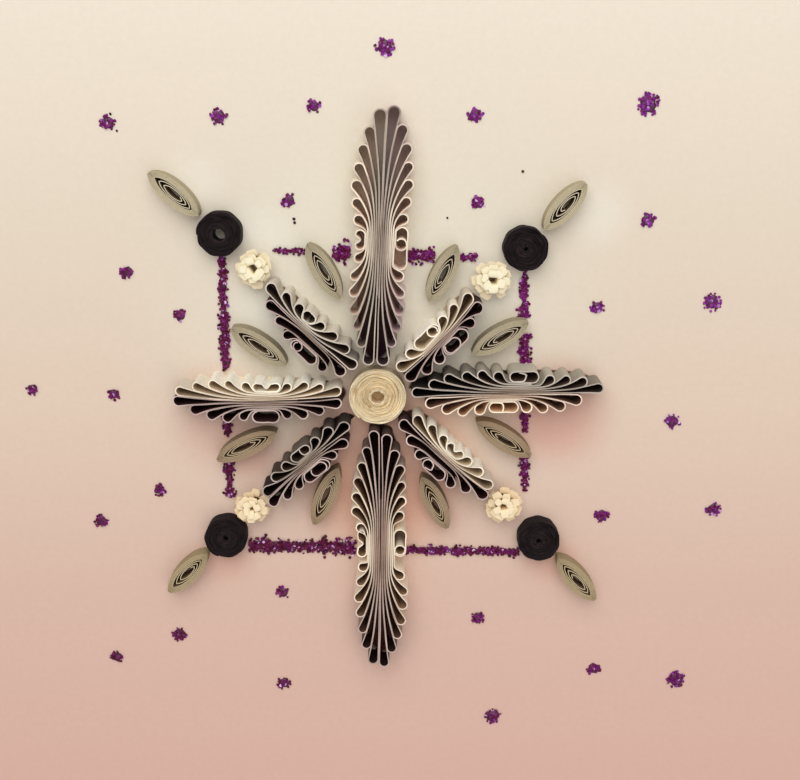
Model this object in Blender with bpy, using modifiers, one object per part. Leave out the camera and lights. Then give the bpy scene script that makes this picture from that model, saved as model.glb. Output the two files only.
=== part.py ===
# Quilled paper snowflake on a square card: petals of comb-quilled strip, rolled coils,
# eye coils, fringed flowers and dried glitter glue.
# Metres, +Z out of the card's face. The origin is under the middle of the card, which lies on
# its back; +Y points to the top of the picture and +X to its right.

import math
from collections import namedtuple

import bpy
from mathutils import Vector

MM = 0.001

# Card
CARD_SIDE = 180.0 * MM
CARD_THICKNESS = 1.0 * MM
GLUE_GAP = 0.3 * MM

# Paper strips
PAPER_THICKNESS = 0.1 * MM
PETAL_STRIP_WIDTH = 5.0 * MM
COIL_STRIP_WIDTH = 3.0 * MM

# Comb-quilled petals
PASS_PITCH = 0.195 * MM
SEAM_GAP = 0.2 * MM
LOOP_RADIUS = 0.74 * MM
TIP_LOOP_RADIUS = 0.92 * MM
FAN_POWER = 1.8
LOOP_GAP = 0.45 * MM
LONG_PETAL_PITCH = 2.82 * MM
SIDE_PETAL_PITCH = 2.78 * MM
SHORT_PETAL_PITCH = 2.75 * MM

# Rolled coils
CENTRE_COIL_RADIUS = 5.0 * MM
CENTRE_COIL_EYE = 1.1 * MM
DARK_COIL_RADIUS = 3.85 * MM
DARK_COIL_EYE = 0.6 * MM
DARK_COIL_TAPER = 0.25 * MM
COIL_DISHING = 0.25 * MM

# Eye coils: turns pressed together outside, loose turns inside
EYE_COIL_WIDTH = 4.0 * MM
EYE_PACKED_WALL = 0.5 * MM
EYE_LOOSE_GAP = 0.28 * MM

# Fringed flowers
FLOWER_RADIUS = 3.3 * MM
FLOWER_HEIGHT = 4.2 * MM
FLOWER_POINTS = 8

# Glitter glue
GLITTER_HEIGHT = 0.45 * MM
GLITTER_LINE_WIDTH = 1.3 * MM
GLITTER_SINK = 0.2 * MM
GLITTER_CLEARANCE = 0.4 * MM
GLITTER_SHORTEST = 1.5 * MM

# Facets round the coils
COIL_STEPS = 14
CENTRE_COIL_STEPS = 20
EYE_STEPS = 8
EYE_LOOSE_STEPS = 8

# A petal stands along its bearing, its inner tip this gap from the centre coil and its axis this
# far to the left of the coil's middle; bow bends the axis. Stations and head_steps set its facets.
Petal = namedtuple("Petal", "bearing gap shift bow pitch stations head_steps halves")

# One strip, which makes half a petal: where its inner tip starts along the axis, the room left for
# its middle piece, its loops on the inner and the outer side, and whether it ends in a curl.
Half = namedtuple("Half", "colour start room inner_loops outer_loops curled")

PETALS = {
    "north": Petal(87.1, 1.2 * MM, 0.66 * MM, 0.1 * MM, LONG_PETAL_PITCH, 3, 4, {
        "left": Half("grey_paper", -0.05 * MM, 6.36 * MM, 7, 7, False),
        "right": Half("plum_paper", 0.1 * MM, 9.58 * MM, 6, 7, True)}),
    "south": Petal(-90.7, 0.7 * MM, 0.58 * MM, 0.2 * MM, LONG_PETAL_PITCH, 3, 4, {
        "right": Half("grey_paper", 0.3 * MM, 11.38 * MM, 6, 7, True),
        "left": Half("grey_paper", -0.3 * MM, 8.56 * MM, 7, 7, False)}),
    "west": Petal(179.4, 1.1 * MM, -0.43 * MM, 0.8 * MM, SIDE_PETAL_PITCH, 2, 4, {
        "lower": Half("black_paper", 0.0, 7.54 * MM, 4, 5, True),
        "upper": Half("white_paper", 0.0, 7.14 * MM, 4, 5, False)}),
    "east": Petal(1.0, 0.6 * MM, 0.39 * MM, 0.3 * MM, SIDE_PETAL_PITCH, 2, 4, {
        "upper": Half("slate_paper", 0.0, 8.66 * MM, 6, 4, False),
        "lower": Half("blush_paper", 2.6 * MM, 8.12 * MM, 4, 4, True)}),
    "northwest": Petal(136.3, 1.9 * MM, -0.6 * MM, 0.25 * MM, SHORT_PETAL_PITCH, 2, 3, {
        "lower": Half("black_paper", 0.3 * MM, 7.85 * MM, 2, 3, True),
        "upper": Half("slate_paper", -0.3 * MM, 4.75 * MM, 4, 3, True)}),
    "northeast": Petal(47.1, 1.2 * MM, -0.26 * MM, -0.45 * MM, SHORT_PETAL_PITCH, 2, 3, {
        "upper": Half("white_paper", 0.15 * MM, 7.65 * MM, 2, 3, True),
        "lower": Half("black_paper", -0.15 * MM, 7.95 * MM, 3, 2, True)}),
    "southwest": Petal(-138.8, 2.7 * MM, 0.79 * MM, -0.3 * MM, SHORT_PETAL_PITCH, 2, 3, {
        "lower": Half("slate_paper", 1.0 * MM, 7.95 * MM, 2, 3, True),
        "upper": Half("black_paper", -1.2 * MM, 6.8 * MM, 3, 3, False)}),
    "southeast": Petal(-43.0, 1.0 * MM, 0.96 * MM, -0.55 * MM, SHORT_PETAL_PITCH, 2, 3, {
        "upper": Half("white_paper", 0.6 * MM, 5.8 * MM, 3, 3, False),
        "lower": Half("black_paper", -0.6 * MM, 7.6 * MM, 3, 3, True)}),
}

# Eye coils between the petals: where the middle lies, its reach counted from the centre coil's
# rim, and the bearing and length of the long axis
EyeCoil = namedtuple("EyeCoil", "bearing reach heading length")

EYE_COILS = {
    "north_west": EyeCoil(112.2, 18.5 * MM, 120.0, 11.2 * MM),
    "north_east": EyeCoil(62.5, 19.0 * MM, 62.0, 11.0 * MM),
    "east_north": EyeCoil(26.3, 18.4 * MM, 30.0, 11.4 * MM),
    "east_south": EyeCoil(-19.3, 18.3 * MM, -33.0, 12.0 * MM),
    "south_east": EyeCoil(-62.9, 16.9 * MM, -65.0, 11.2 * MM),
    "south_west": EyeCoil(-117.0, 15.5 * MM, -113.0, 12.0 * MM),
    "west_south": EyeCoil(-158.8, 19.7 * MM, -155.0, 12.2 * MM),
    "west_north": EyeCoil(156.2, 17.1 * MM, 145.0, 11.8 * MM),
}

# What follows each short petal outwards, each with its bearing and gap from the piece before it:
# a flower, a dark coil and an outer eye coil, which has its own heading and length
Corner = namedtuple(
    "Corner", "flower_bearing flower_gap coil_bearing coil_gap eye_bearing eye_gap eye_heading eye_length"
)

CORNERS = {
    "northwest": Corner(121.3, 0.3 * MM, 134.5, 0.8 * MM, 136.6, 0.5 * MM, 138.0, 11.1 * MM),
    "northeast": Corner(45.6, 0.7 * MM, 43.9, 0.4 * MM, 48.0, 0.4 * MM, 48.0, 10.6 * MM),
    "southwest": Corner(-141.0, 0.3 * MM, -130.0, 0.35 * MM, -137.1, 0.5 * MM, -135.0, 10.8 * MM),
    "southeast": Corner(-47.3, 0.8 * MM, -46.3, 2.1 * MM, -47.0, 0.8 * MM, -49.0, 11.2 * MM),
}

# Glitter lines from one dark coil to the next, this far to the left at their two ends. They are
# drawn where no paper stands.
GlitterLine = namedtuple("GlitterLine", "first last offset end_offset")

GLITTER_LINES = {
    "north": GlitterLine("northwest", "northeast", -2.7 * MM, -2.1 * MM),
    "west": GlitterLine("northwest", "southwest", 0.0, 0.6 * MM),
    "east": GlitterLine("northeast", "southeast", 0.0, -2.2 * MM),
    "south": GlitterLine("southwest", "southeast", -2.2 * MM, -3.4 * MM),
}

# Glitter dots strewn over the card by hand: place and radius
GLITTER_DOTS = (
    (1.4, 58, 1.7), (-44.3, 46, 1.4), (-26, 47, 1.5), (-10.3, 48.7, 1.2), (16.2, 47.2, 1.4),
    (44.6, 49, 2.0), (-14.8, 33.2, 1.4), (17, 33, 1.3), (45.6, 30, 1.4), (-42.7, 21.2, 1.3),
    (-34, 13.7, 1.2), (37.7, 15.1, 1.3), (57.4, 16, 1.7), (-60.4, 0.6, 1.2), (-46.2, -0.3, 1.2),
    (51.8, -5.3, 1.5), (-39.3, -18, 1.3), (-50, -24, 1.3), (40.2, -23, 1.4), (60.2, -21.8, 1.5),
    (-17.6, -38, 1.3), (18.3, -43, 1.4), (-37, -46.4, 1.5), (-49, -51, 1.3), (-18, -56.5, 1.4),
    (40, -53.4, 1.4), (55.6, -55.7, 1.9), (21.4, -63.4, 1.6),
)

PAPER_COLOURS = {
    "cream_card": (0.86, 0.80, 0.70),
    "ivory_paper": (0.88, 0.76, 0.55),
    "white_paper": (0.86, 0.80, 0.72),
    "blush_paper": (0.80, 0.68, 0.58),
    "grey_paper": (0.52, 0.47, 0.42),
    "plum_paper": (0.30, 0.24, 0.27),
    "slate_paper": (0.20, 0.18, 0.17),
    "black_paper": (0.05, 0.04, 0.05),
    "dark_coil_paper": (0.03, 0.025, 0.035),
    "sage_paper": (0.46, 0.44, 0.34),
}
GLITTER_COLOUR = (0.16, 0.02, 0.22)

CARD_TOP = CARD_THICKNESS
PAPER_FOOT = CARD_TOP + GLUE_GAP


def clear_scene():
    for thing in list(bpy.data.objects):
        bpy.data.objects.remove(thing, do_unlink=True)


def collection(name):
    made = bpy.data.collections.new(name)
    bpy.context.scene.collection.children.link(made)
    return made


def material(name, colour, roughness, metallic=0.0):
    made = bpy.data.materials.new(name)
    made.use_nodes = True
    shader = made.node_tree.nodes["Principled BSDF"]
    shader.inputs["Base Color"].default_value = (*colour, 1.0)
    shader.inputs["Roughness"].default_value = roughness
    shader.inputs["Metallic"].default_value = metallic
    made.diffuse_color = (*colour, 1.0)
    return made


def all_materials():
    made = {name: material(name, colour, 0.85) for name, colour in PAPER_COLOURS.items()}
    made["purple_glitter"] = material("purple_glitter", GLITTER_COLOUR, 0.35, 0.4)
    return made


def direction(bearing):
    return Vector((math.cos(math.radians(bearing)), math.sin(math.radians(bearing))))


def add_object(name, data, where, paint=None):
    made = bpy.data.objects.new(name, data)
    where.objects.link(made)
    if paint is not None:
        data.materials.append(paint)
    return made


def polyline(name, outlines, closed):
    """A flat curve through straight runs of points."""
    curve = bpy.data.curves.new(name, "CURVE")
    curve.dimensions = "2D"
    for points in outlines:
        spline = curve.splines.new("POLY")
        spline.points.add(len(points) - 1)
        for place, point in zip(spline.points, points):
            place.co = (point[0], point[1], 0.0, 1.0)
        spline.use_cyclic_u = closed
    return curve


def standing_strip(name, path, width, where, paint):
    """Paper strip on edge: the path drawn up to the strip's width and given the paper's thickness."""
    curve = polyline(name, [path], closed=False)
    curve.fill_mode = "NONE"
    curve.extrude = width / 2
    strip = add_object(name, curve, where, paint)
    strip.location.z = PAPER_FOOT + width / 2
    paper = strip.modifiers.new("paper", "SOLIDIFY")
    paper.thickness = PAPER_THICKNESS
    paper.offset = 0.0
    paper.use_even_offset = True
    return strip


def flat_shape(name, outlines, bottom, height, where, paint):
    """Flat outline, with any inner outlines as holes, drawn up to a height."""
    curve = polyline(name, outlines, closed=True)
    curve.fill_mode = "BOTH"
    curve.extrude = height / 2
    shape = add_object(name, curve, where, paint)
    shape.location.z = bottom + height / 2
    return shape


def turned(name, profile, steps, where, paint):
    """Profile of (radius, height) points, top to bottom down its outer side, turned about Z."""
    mesh = bpy.data.meshes.new(name)
    edges = [(i, i + 1) for i in range(len(profile) - 1)]
    mesh.from_pydata([(r, 0.0, z) for r, z in profile], edges + [(len(profile) - 1, 0)], [])
    piece = add_object(name, mesh, where, paint)
    screw = piece.modifiers.new("turning", "SCREW")
    screw.steps = steps
    screw.render_steps = steps
    screw.use_merge_vertices = True
    screw.merge_threshold = 0.00001
    return piece


class HalfPetal:
    """One comb-quilled strip. u runs along the petal from the waist and v away from the seam.

    The strip goes to and fro past the waist. Each pass lies against the one before it, and each
    turn is a loop whose side wall leans on the loop before. Later loops are shorter, so the heads
    step back from both tips to the waist, where the strip ends in a rounded middle piece.
    """

    def __init__(self, half, petal):
        self.pitch = petal.pitch
        self.head_steps = petal.head_steps
        self.middle = half.room / 2
        self.waist = (half.inner_loops - 1) * petal.pitch + self.middle
        self.first = 1 if half.outer_loops >= half.inner_loops else -1
        self.count = {1: half.outer_loops, -1: half.inner_loops}
        self.fans = {1: [], -1: []}
        longest = max(self.count.values()) * petal.pitch + self.middle
        self.closed = self.middle - 1.5 * LOOP_RADIUS
        growth = (longest / self.closed) ** (1.0 / petal.stations)
        self.stations = [0.0] + [self.closed * growth**i for i in range(petal.stations + 1)]

    def fan_shape(self, u):
        """How far a loop has opened at u: closed at the waist, and straight between the stations."""
        for start, end in zip(self.stations, self.stations[1:]):
            if u <= end:
                break
        low = max(0.0, start - self.closed) ** FAN_POWER
        high = (end - self.closed) ** FAN_POWER
        return low + (high - low) * (u - start) / (end - start)

    def wall(self, u, side, number, loops):
        """v of one pass, pushed outwards by the first loops on its side."""
        spread = sum(self.fans[side][:loops]) * self.fan_shape(u)
        return SEAM_GAP / 2 + PAPER_THICKNESS / 2 + number * PASS_PITCH + spread

    def slope(self, u, side, number, loops):
        step = 0.05 * MM
        rise = self.wall(u + step, side, number, loops) - self.wall(u - step, side, number, loops)
        return rise / (2 * step)

    def side_points(self, end, side, number, loops):
        """Points of a pass between the waist and its end."""
        inside = [u for u in self.stations[1:] if u < end - 0.04 * self.pitch]
        return [(side * u, self.wall(u, side, number, loops)) for u in inside]

    def loop(self, side, index, number):
        """A loop: out along its inner wall, round its head and back along its outer wall."""
        reach = self.middle + (self.count[side] - 1 - index) * self.pitch
        radius = TIP_LOOP_RADIUS if index == 0 else LOOP_RADIUS
        lean = math.atan(self.slope(reach, side, number, index))
        start_u = reach + radius * math.sin(lean)
        start_v = self.wall(start_u, side, number, index)
        centre = Vector((start_u - radius * math.sin(lean), start_v + radius * math.cos(lean)))
        turn = lean + 0.3
        for _ in range(6):
            end = centre + radius * Vector((-math.sin(turn), math.cos(turn)))
            opened = end.y - self.wall(end.x, side, number + 1, index)
            amount = opened / self.fan_shape(end.x)
            rise = self.slope(end.x, side, number, index) + FAN_POWER * opened / (end.x - self.closed)
            turn = min(math.atan(rise), lean + 0.7)
        outgoing = self.side_points(start_u, side, number, index)
        self.fans[side].append(amount)
        returning = self.side_points(end.x, side, number + 1, index + 1)
        head = []
        first, last = lean - math.pi / 2, turn + math.pi / 2
        for step in range(self.head_steps + 1):
            angle = first + (last - first) * step / self.head_steps
            head.append((side * (centre.x + radius * math.cos(angle)), centre.y + radius * math.sin(angle)))
        return outgoing + head + returning[::-1]

    def hidden_turn(self, side, number):
        """Where one side has no loop left, the strip turns back inside the waist."""
        turn = 0.5 * self.closed
        return [(side * turn, self.wall(turn, side, row, None)) for row in (number, number + 1)]

    def middle_piece(self, heading, number, curled):
        """The strip's last stretch: an oval on the outside of the waist, with or without a curl in it."""
        radius = LOOP_RADIUS
        side_length = max(0.3 * radius, self.middle - 2 * LOOP_RADIUS - LOOP_GAP)
        far = Vector((heading * side_length, self.wall(side_length, heading, number, None) + radius))
        near = Vector((-heading * side_length, self.wall(side_length, -heading, number, None) + radius))
        inner_radius = radius - PASS_PITCH / 2
        points = arc(far, radius, -90, 90, heading, self.head_steps)
        middle_v = self.wall(0.0, heading, number, 0) + 2 * radius
        points.append((0.0, middle_v))
        near_centre = near + Vector((0.0, radius - inner_radius))
        points += arc(near_centre, inner_radius, 90, 250, heading, self.head_steps)
        if curled:
            curl_radius = radius - PASS_PITCH
            curl_u = heading * min(0.35 * side_length, side_length - curl_radius)
            curl = Vector((curl_u, self.wall(abs(curl_u), heading, number, None) + radius))
            points += arc(curl, curl_radius, -90, 190, heading, self.head_steps)
        return points

    def path(self, curled):
        points = [(-self.first * 0.45 * self.waist, self.wall(0.45 * self.waist, -self.first, 0, 0))]
        side = self.first
        taken = {1: 0, -1: 0}
        number = 0
        while taken != self.count:
            if taken[side] < self.count[side]:
                points += self.loop(side, taken[side], number)
                taken[side] += 1
            else:
                points += self.hidden_turn(side, number)
            number += 1
            side = -side
        return points + self.middle_piece(side, number, curled)


def arc(centre, radius, first, last, heading, steps):
    """Points round a centre; a heading of -1 mirrors them along the petal."""
    points = []
    for step in range(steps + 1):
        angle = math.radians(first + (last - first) * step / steps)
        points.append((centre[0] + heading * radius * math.cos(angle), centre[1] + radius * math.sin(angle)))
    return points


def petal_start(petal):
    """Where the inner tip of a petal's axis stands on the card."""
    along = CENTRE_COIL_RADIUS + petal.gap + TIP_LOOP_RADIUS
    return along * direction(petal.bearing) + petal.shift * direction(petal.bearing + 90)


def petal_length(petal):
    """From the inner tip loop to the outer one, of whichever half reaches farther out."""
    ends = []
    for half in petal.halves.values():
        ends.append(half.start + half.room + (half.inner_loops + half.outer_loops - 2) * petal.pitch)
    return max(ends)


def half_petal_path(petal, half, mirrored):
    """The centre line of one strip, laid out on the card."""
    strip = HalfPetal(half, petal)
    along, across = direction(petal.bearing), direction(petal.bearing + 90)
    origin, whole = petal_start(petal), petal_length(petal)
    path = []
    for u, v in strip.path(half.curled):
        s = half.start + strip.waist + u
        sideways = (-v if mirrored else v) + petal.bow * (1.0 - (2.0 * s / whole - 1.0) ** 2)
        path.append(origin + s * along + sideways * across)
    return path


def all_half_petals():
    """Name, path and colour of every half petal; the second half of each petal is mirrored."""
    for side, petal in PETALS.items():
        for mirrored, (hand, half) in enumerate(petal.halves.items()):
            yield f"{side}_petal_{hand}", half_petal_path(petal, half, bool(mirrored)), half.colour


def make_petals(where, paints):
    for name, path, colour in all_half_petals():
        standing_strip(name, path, PETAL_STRIP_WIDTH, where, paints[colour])


def make_centre_coil(where, paint):
    """Tightly rolled disc, dished towards a raised eye, with a step where its colour turns were joined."""
    top = PAPER_FOOT + COIL_STRIP_WIDTH
    foot = PAPER_FOOT
    step = 0.12 * MM
    eye = CENTRE_COIL_EYE
    wall = (CENTRE_COIL_RADIUS - eye) / 4
    profile = [(eye, foot), (eye, top), (eye + 0.7 * wall, top)]
    profile += [(eye + 0.8 * wall, top - COIL_DISHING), (eye + 2.0 * wall, top - COIL_DISHING + step)]
    profile += [(eye + 2.05 * wall, top - COIL_DISHING), (eye + 3.2 * wall, top - step)]
    profile += [(CENTRE_COIL_RADIUS, top), (CENTRE_COIL_RADIUS, foot)]
    return turned("centre_coil", profile, CENTRE_COIL_STEPS, where, paint)


def make_dark_coil(name, place, where, paint):
    """Tight coil of wide strip, pushed up a little so that its side tapers."""
    top = PAPER_FOOT + COIL_STRIP_WIDTH
    foot = PAPER_FOOT
    profile = [(DARK_COIL_EYE, foot), (DARK_COIL_EYE, top - COIL_DISHING)]
    profile += [(0.5 * DARK_COIL_RADIUS, top), (DARK_COIL_RADIUS - DARK_COIL_TAPER, top - 0.1 * MM)]
    profile += [(DARK_COIL_RADIUS, foot)]
    coil = turned(name, profile, COIL_STEPS, where, paint)
    coil.location = (place.x, place.y, 0.0)
    return coil


def eye_point(step, half_length, half_width):
    """Point of a pinched eye shape, EYE_STEPS of which go once round it from one of its ends."""
    part = (step % EYE_STEPS) / EYE_STEPS
    side = 1.0 if part < 0.5 else -1.0
    along = 2.0 * (part % 0.5)
    return Vector((side * half_length * (1.0 - 2.0 * along), side * half_width * 4.0 * along * (1.0 - along)))


def eye_wall(step):
    """Depth of the wall's two faces inside the eye's outline, so many steps after the strip's end.

    The turns pressed together make one wall that thickens from the strip's outer end. After one
    round it passes inside that end, thins to a single strip and winds on with an open gap.
    """
    end_turn = PAPER_THICKNESS + EYE_LOOSE_GAP / 2
    packed = EYE_PACKED_WALL
    settled = packed + EYE_LOOSE_GAP
    if step < 3:
        return 0.0, PAPER_THICKNESS + (packed - PAPER_THICKNESS) * step / 3
    if step < EYE_STEPS:
        return 0.0, packed
    if step < EYE_STEPS + 3:
        done = (step - EYE_STEPS) / 3
        outer = end_turn + (settled - end_turn) * done
        return outer, outer + packed + (PAPER_THICKNESS - packed) * (0.5 + done / 2)
    wound = (step - EYE_STEPS - 3) / EYE_STEPS
    outer = settled + wound * (PAPER_THICKNESS + EYE_LOOSE_GAP)
    return outer, outer + PAPER_THICKNESS


def make_eye_coil(name, place, bearing, length, where, paint):
    """Rolled strip pinched at both ends: a packed outer wall and loose turns inside it."""
    half_length, half_width = length / 2, EYE_COIL_WIDTH / 2
    end_share = math.hypot(1.0, half_length / (2.0 * half_width))
    outer_face, inner_face = [], []
    for step in range(EYE_STEPS + 3 + EYE_LOOSE_STEPS):
        for face, depth in zip((outer_face, inner_face), eye_wall(step)):
            face.append(eye_point(step + 1, half_length - end_share * depth, half_width - depth))
    coil = flat_shape(name, [outer_face + inner_face[::-1]], PAPER_FOOT, COIL_STRIP_WIDTH, where, paint)
    coil.location.x, coil.location.y = place
    coil.rotation_euler.z = math.radians(bearing)
    return coil


def star_outline(radius, points, turn):
    outline = []
    for i in range(2 * points):
        reach = radius if i % 2 == 0 else 0.72 * radius
        outline.append(reach * direction(turn + 180.0 * i / points))
    return outline


def as_mesh(thing):
    """The same object with its modifiers and curve made mesh, caps welded."""
    depsgraph = bpy.context.evaluated_depsgraph_get()
    mesh = bpy.data.meshes.new_from_object(thing.evaluated_get(depsgraph))
    made = bpy.data.objects.new(thing.name, mesh)
    made.matrix_world = thing.matrix_world.copy()
    for home in thing.users_collection:
        home.objects.link(made)
    name = thing.name
    bpy.data.objects.remove(thing, do_unlink=True)
    made.name = name
    weld = made.modifiers.new("weld", "WELD")
    weld.merge_threshold = 0.000001
    return made


def join_to(piece, other):
    union = piece.modifiers.new("join", "BOOLEAN")
    union.operation = "UNION"
    union.solver = "EXACT"
    union.object = other
    other.hide_render = True
    other.display_type = "WIRE"


def make_flower(name, place, where, cutters, paint):
    """Fringed strip rolled up and spread: tiers of cut points, each smaller and higher."""
    tiers = []
    for number, share in enumerate((1.0, 0.55)):
        home = where if number == 0 else cutters
        tier_name = name if number == 0 else f"{name}_tier_{number}"
        height = FLOWER_HEIGHT * (0.8 + 0.2 * number)
        outline = star_outline(share * FLOWER_RADIUS, FLOWER_POINTS - 3 * number, 14.0 * number)
        tier = flat_shape(tier_name, [outline], PAPER_FOOT, height, home, paint)
        tier.location.x, tier.location.y = place
        tiers.append(tier)
    bpy.context.view_layer.update()
    tiers = [as_mesh(tier) for tier in tiers]
    for tier in tiers[1:]:
        join_to(tiers[0], tier)
    return tiers[0]


def make_card(where, cutters, paint):
    """The card, with the low drops of glitter glue that have dried on to it."""
    bpy.ops.mesh.primitive_cube_add(size=1.0, location=(0.0, 0.0, CARD_THICKNESS / 2))
    card = bpy.context.object
    card.name = "backing_card"
    card.data.name = "backing_card"
    card.scale = (CARD_SIDE, CARD_SIDE, CARD_THICKNESS)
    move_to(card, where)
    card.data.materials.append(paint)
    outlines = []
    for x, y, radius in GLITTER_DOTS:
        outlines.append([Vector((x, y)) * MM + radius * MM * direction(72.0 * i) for i in range(5)])
    height = GLITTER_HEIGHT + GLITTER_SINK
    dots = flat_shape("glitter_dots", outlines, CARD_TOP - GLITTER_SINK, height, cutters, paint)
    bpy.context.view_layer.update()
    join_to(card, as_mesh(dots))
    return card


def move_to(thing, where):
    for home in list(thing.users_collection):
        home.objects.unlink(thing)
    where.objects.link(thing)


def make_glitter_bead(name, start, end, where, paint):
    """A drawn bead of glitter glue, wider in its middle."""
    along = (end - start).normalized()
    across = Vector((-along.y, along.x)) * GLITTER_LINE_WIDTH / 2
    middle = (start + end) / 2
    outline = [start - 0.6 * across, middle - across, end - 0.6 * across]
    outline += [end + 0.6 * across, middle + across, start + 0.6 * across]
    return flat_shape(name, [outline], PAPER_FOOT, GLITTER_HEIGHT, where, paint)


def corner_places():
    """Middles of each corner's flower, dark coil and outer eye coil."""
    places = {}
    for name, corner in CORNERS.items():
        petal = PETALS[name]
        end = petal_start(petal) + petal_length(petal) * direction(petal.bearing)
        flower_reach = TIP_LOOP_RADIUS + corner.flower_gap + FLOWER_RADIUS
        flower = end + flower_reach * direction(corner.flower_bearing)
        coil = flower + (FLOWER_RADIUS + corner.coil_gap + DARK_COIL_RADIUS) * direction(corner.coil_bearing)
        reach = DARK_COIL_RADIUS + corner.eye_gap + corner.eye_length / 2
        places[name] = (flower, coil, coil + reach * direction(corner.eye_bearing))
    return places


def make_corners(places, where, cutters, paints):
    for name, (flower, coil, eye) in places.items():
        corner = CORNERS[name]
        make_flower(f"{name}_flower", flower, where, cutters, paints["white_paper"])
        make_dark_coil(f"{name}_dark_coil", coil, where, paints["dark_coil_paper"])
        name = f"{name}_outer_eye_coil"
        make_eye_coil(name, eye, corner.eye_heading, corner.eye_length, where, paints["sage_paper"])


def eye_place(eye):
    return (CENTRE_COIL_RADIUS + eye.reach) * direction(eye.bearing)


def make_inner_eye_coils(where, paint):
    for side, eye in EYE_COILS.items():
        make_eye_coil(f"{side}_eye_coil", eye_place(eye), eye.heading, eye.length, where, paint)


def ring(place, radius):
    return [place + radius * direction(360.0 * step / COIL_STEPS) for step in range(COIL_STEPS + 1)]


def eye_outline(place, heading, length):
    outline = []
    for step in range(EYE_STEPS + 1):
        along, aside = eye_point(step, length / 2, EYE_COIL_WIDTH / 2)
        outline.append(place + along * direction(heading) + aside * direction(heading + 90))
    return outline


def standing_outlines(places):
    """The feet of all the paper on the card, as lines that a glitter bead keeps clear of."""
    outlines = [path for _, path, _ in all_half_petals()]
    for eye in EYE_COILS.values():
        outlines.append(eye_outline(eye_place(eye), eye.heading, eye.length))
    for name, (flower, coil, outer_eye) in places.items():
        outlines += [ring(flower, FLOWER_RADIUS), ring(coil, DARK_COIL_RADIUS)]
        outlines.append(eye_outline(outer_eye, CORNERS[name].eye_heading, CORNERS[name].eye_length))
    return outlines


def covered_stretch(outline, start, along, across):
    """From where to where one outline comes near a glitter line, counted from the line's start."""
    near = GLITTER_LINE_WIDTH / 2 + GLITTER_CLEARANCE
    reached = []
    for first, last in zip(outline, outline[1:]):
        side, change = (first - start).dot(across), (last - first).dot(across)
        if abs(change) < 0.001 * MM:
            parts = (0.0, 1.0) if abs(side) < near else ()
        else:
            crossings = sorted(((-near - side) / change, (near - side) / change))
            parts = (max(0.0, crossings[0]), min(1.0, crossings[1]))
            parts = parts if parts[0] < parts[1] else ()
        reached += [(first.lerp(last, part) - start).dot(along) for part in parts]
    if not reached:
        return None
    return min(reached) - GLITTER_CLEARANCE, max(reached) + GLITTER_CLEARANCE


def clear_stretches(start, along, across, outlines):
    """The stretches of a glitter line that no paper stands on; its two ends are under dark coils."""
    covered = [covered_stretch(outline, start, along, across) for outline in outlines]
    clear, free_from = [], 0.0
    for low, high in sorted(stretch for stretch in covered if stretch):
        if low - free_from > GLITTER_SHORTEST:
            clear.append((free_from, low))
        free_from = max(free_from, high)
    return clear


def make_glitter_lines(places, where, paint):
    outlines = standing_outlines(places)
    for side, line in GLITTER_LINES.items():
        start, end = places[line.first][1], places[line.last][1]
        aside = (end - start).normalized().orthogonal()
        start, end = start + line.offset * aside, end + line.end_offset * aside
        along = (end - start).normalized()
        across = along.orthogonal()
        length = (end - start).dot(along)
        number = 0
        for low, high in clear_stretches(start, along, across, outlines):
            if high > length:
                continue
            number += 1
            ends = (start + low * along, start + high * along)
            make_glitter_bead(f"{side}_glitter_line_{number}", *ends, where, paint)


def main():
    clear_scene()
    where = collection("quilled_snowflake")
    cutters = collection("joined_shapes")
    paints = all_materials()
    make_card(where, cutters, paints["cream_card"])
    make_centre_coil(where, paints["ivory_paper"])
    make_petals(where, paints)
    make_inner_eye_coils(where, paints["sage_paper"])
    places = corner_places()
    make_corners(places, where, cutters, paints)
    make_glitter_lines(places, where, paints["purple_glitter"])


main()
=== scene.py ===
# %% [markdown]
# # A quilled paper snowflake
# Quilling rolls and loops narrow strips of paper and glues them to a card on edge. This lesson
# dresses the plain solids of such a card with real strips: comb-looped petals, rolled coils,
# pinched eye coils, fringed flowers and glitter glue. The solids say where each piece stands and
# how large it is, so they are loaded first, as a frame, and every new piece stays on its solid.

# %% Load the frame
import math
import random
from collections import namedtuple

import bpy
from mathutils import Matrix, Vector, noise


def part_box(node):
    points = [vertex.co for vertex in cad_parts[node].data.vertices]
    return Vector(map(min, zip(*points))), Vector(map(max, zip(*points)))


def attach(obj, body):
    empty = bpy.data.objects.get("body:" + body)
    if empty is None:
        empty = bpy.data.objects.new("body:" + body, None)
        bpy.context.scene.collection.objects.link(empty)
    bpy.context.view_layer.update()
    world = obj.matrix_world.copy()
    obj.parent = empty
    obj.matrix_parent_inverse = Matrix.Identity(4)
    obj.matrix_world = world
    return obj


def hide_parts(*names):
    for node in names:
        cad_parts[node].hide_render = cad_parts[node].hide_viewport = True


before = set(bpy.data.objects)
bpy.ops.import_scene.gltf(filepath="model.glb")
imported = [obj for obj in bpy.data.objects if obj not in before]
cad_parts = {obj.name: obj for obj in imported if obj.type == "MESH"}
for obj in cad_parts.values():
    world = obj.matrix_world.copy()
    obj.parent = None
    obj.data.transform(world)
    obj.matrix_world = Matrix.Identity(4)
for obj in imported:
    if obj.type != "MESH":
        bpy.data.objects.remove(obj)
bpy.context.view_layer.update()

MM = 0.001
CARD_SIDE = 180.0 * MM
CARD_TOP = 1.0 * MM
PAPER_FOOT = CARD_TOP + 0.3 * MM
print("solids loaded:", len(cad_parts))

# %% [markdown]
# ## The camera
# The photograph is taken by hand, from a little above the top edge of the card and tilted back
# towards its middle. The lens is given by the angle that the picture spans, and the picture is
# 800 by 780 pixels, so Blender's own sensor width is the picture's long side.

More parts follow.
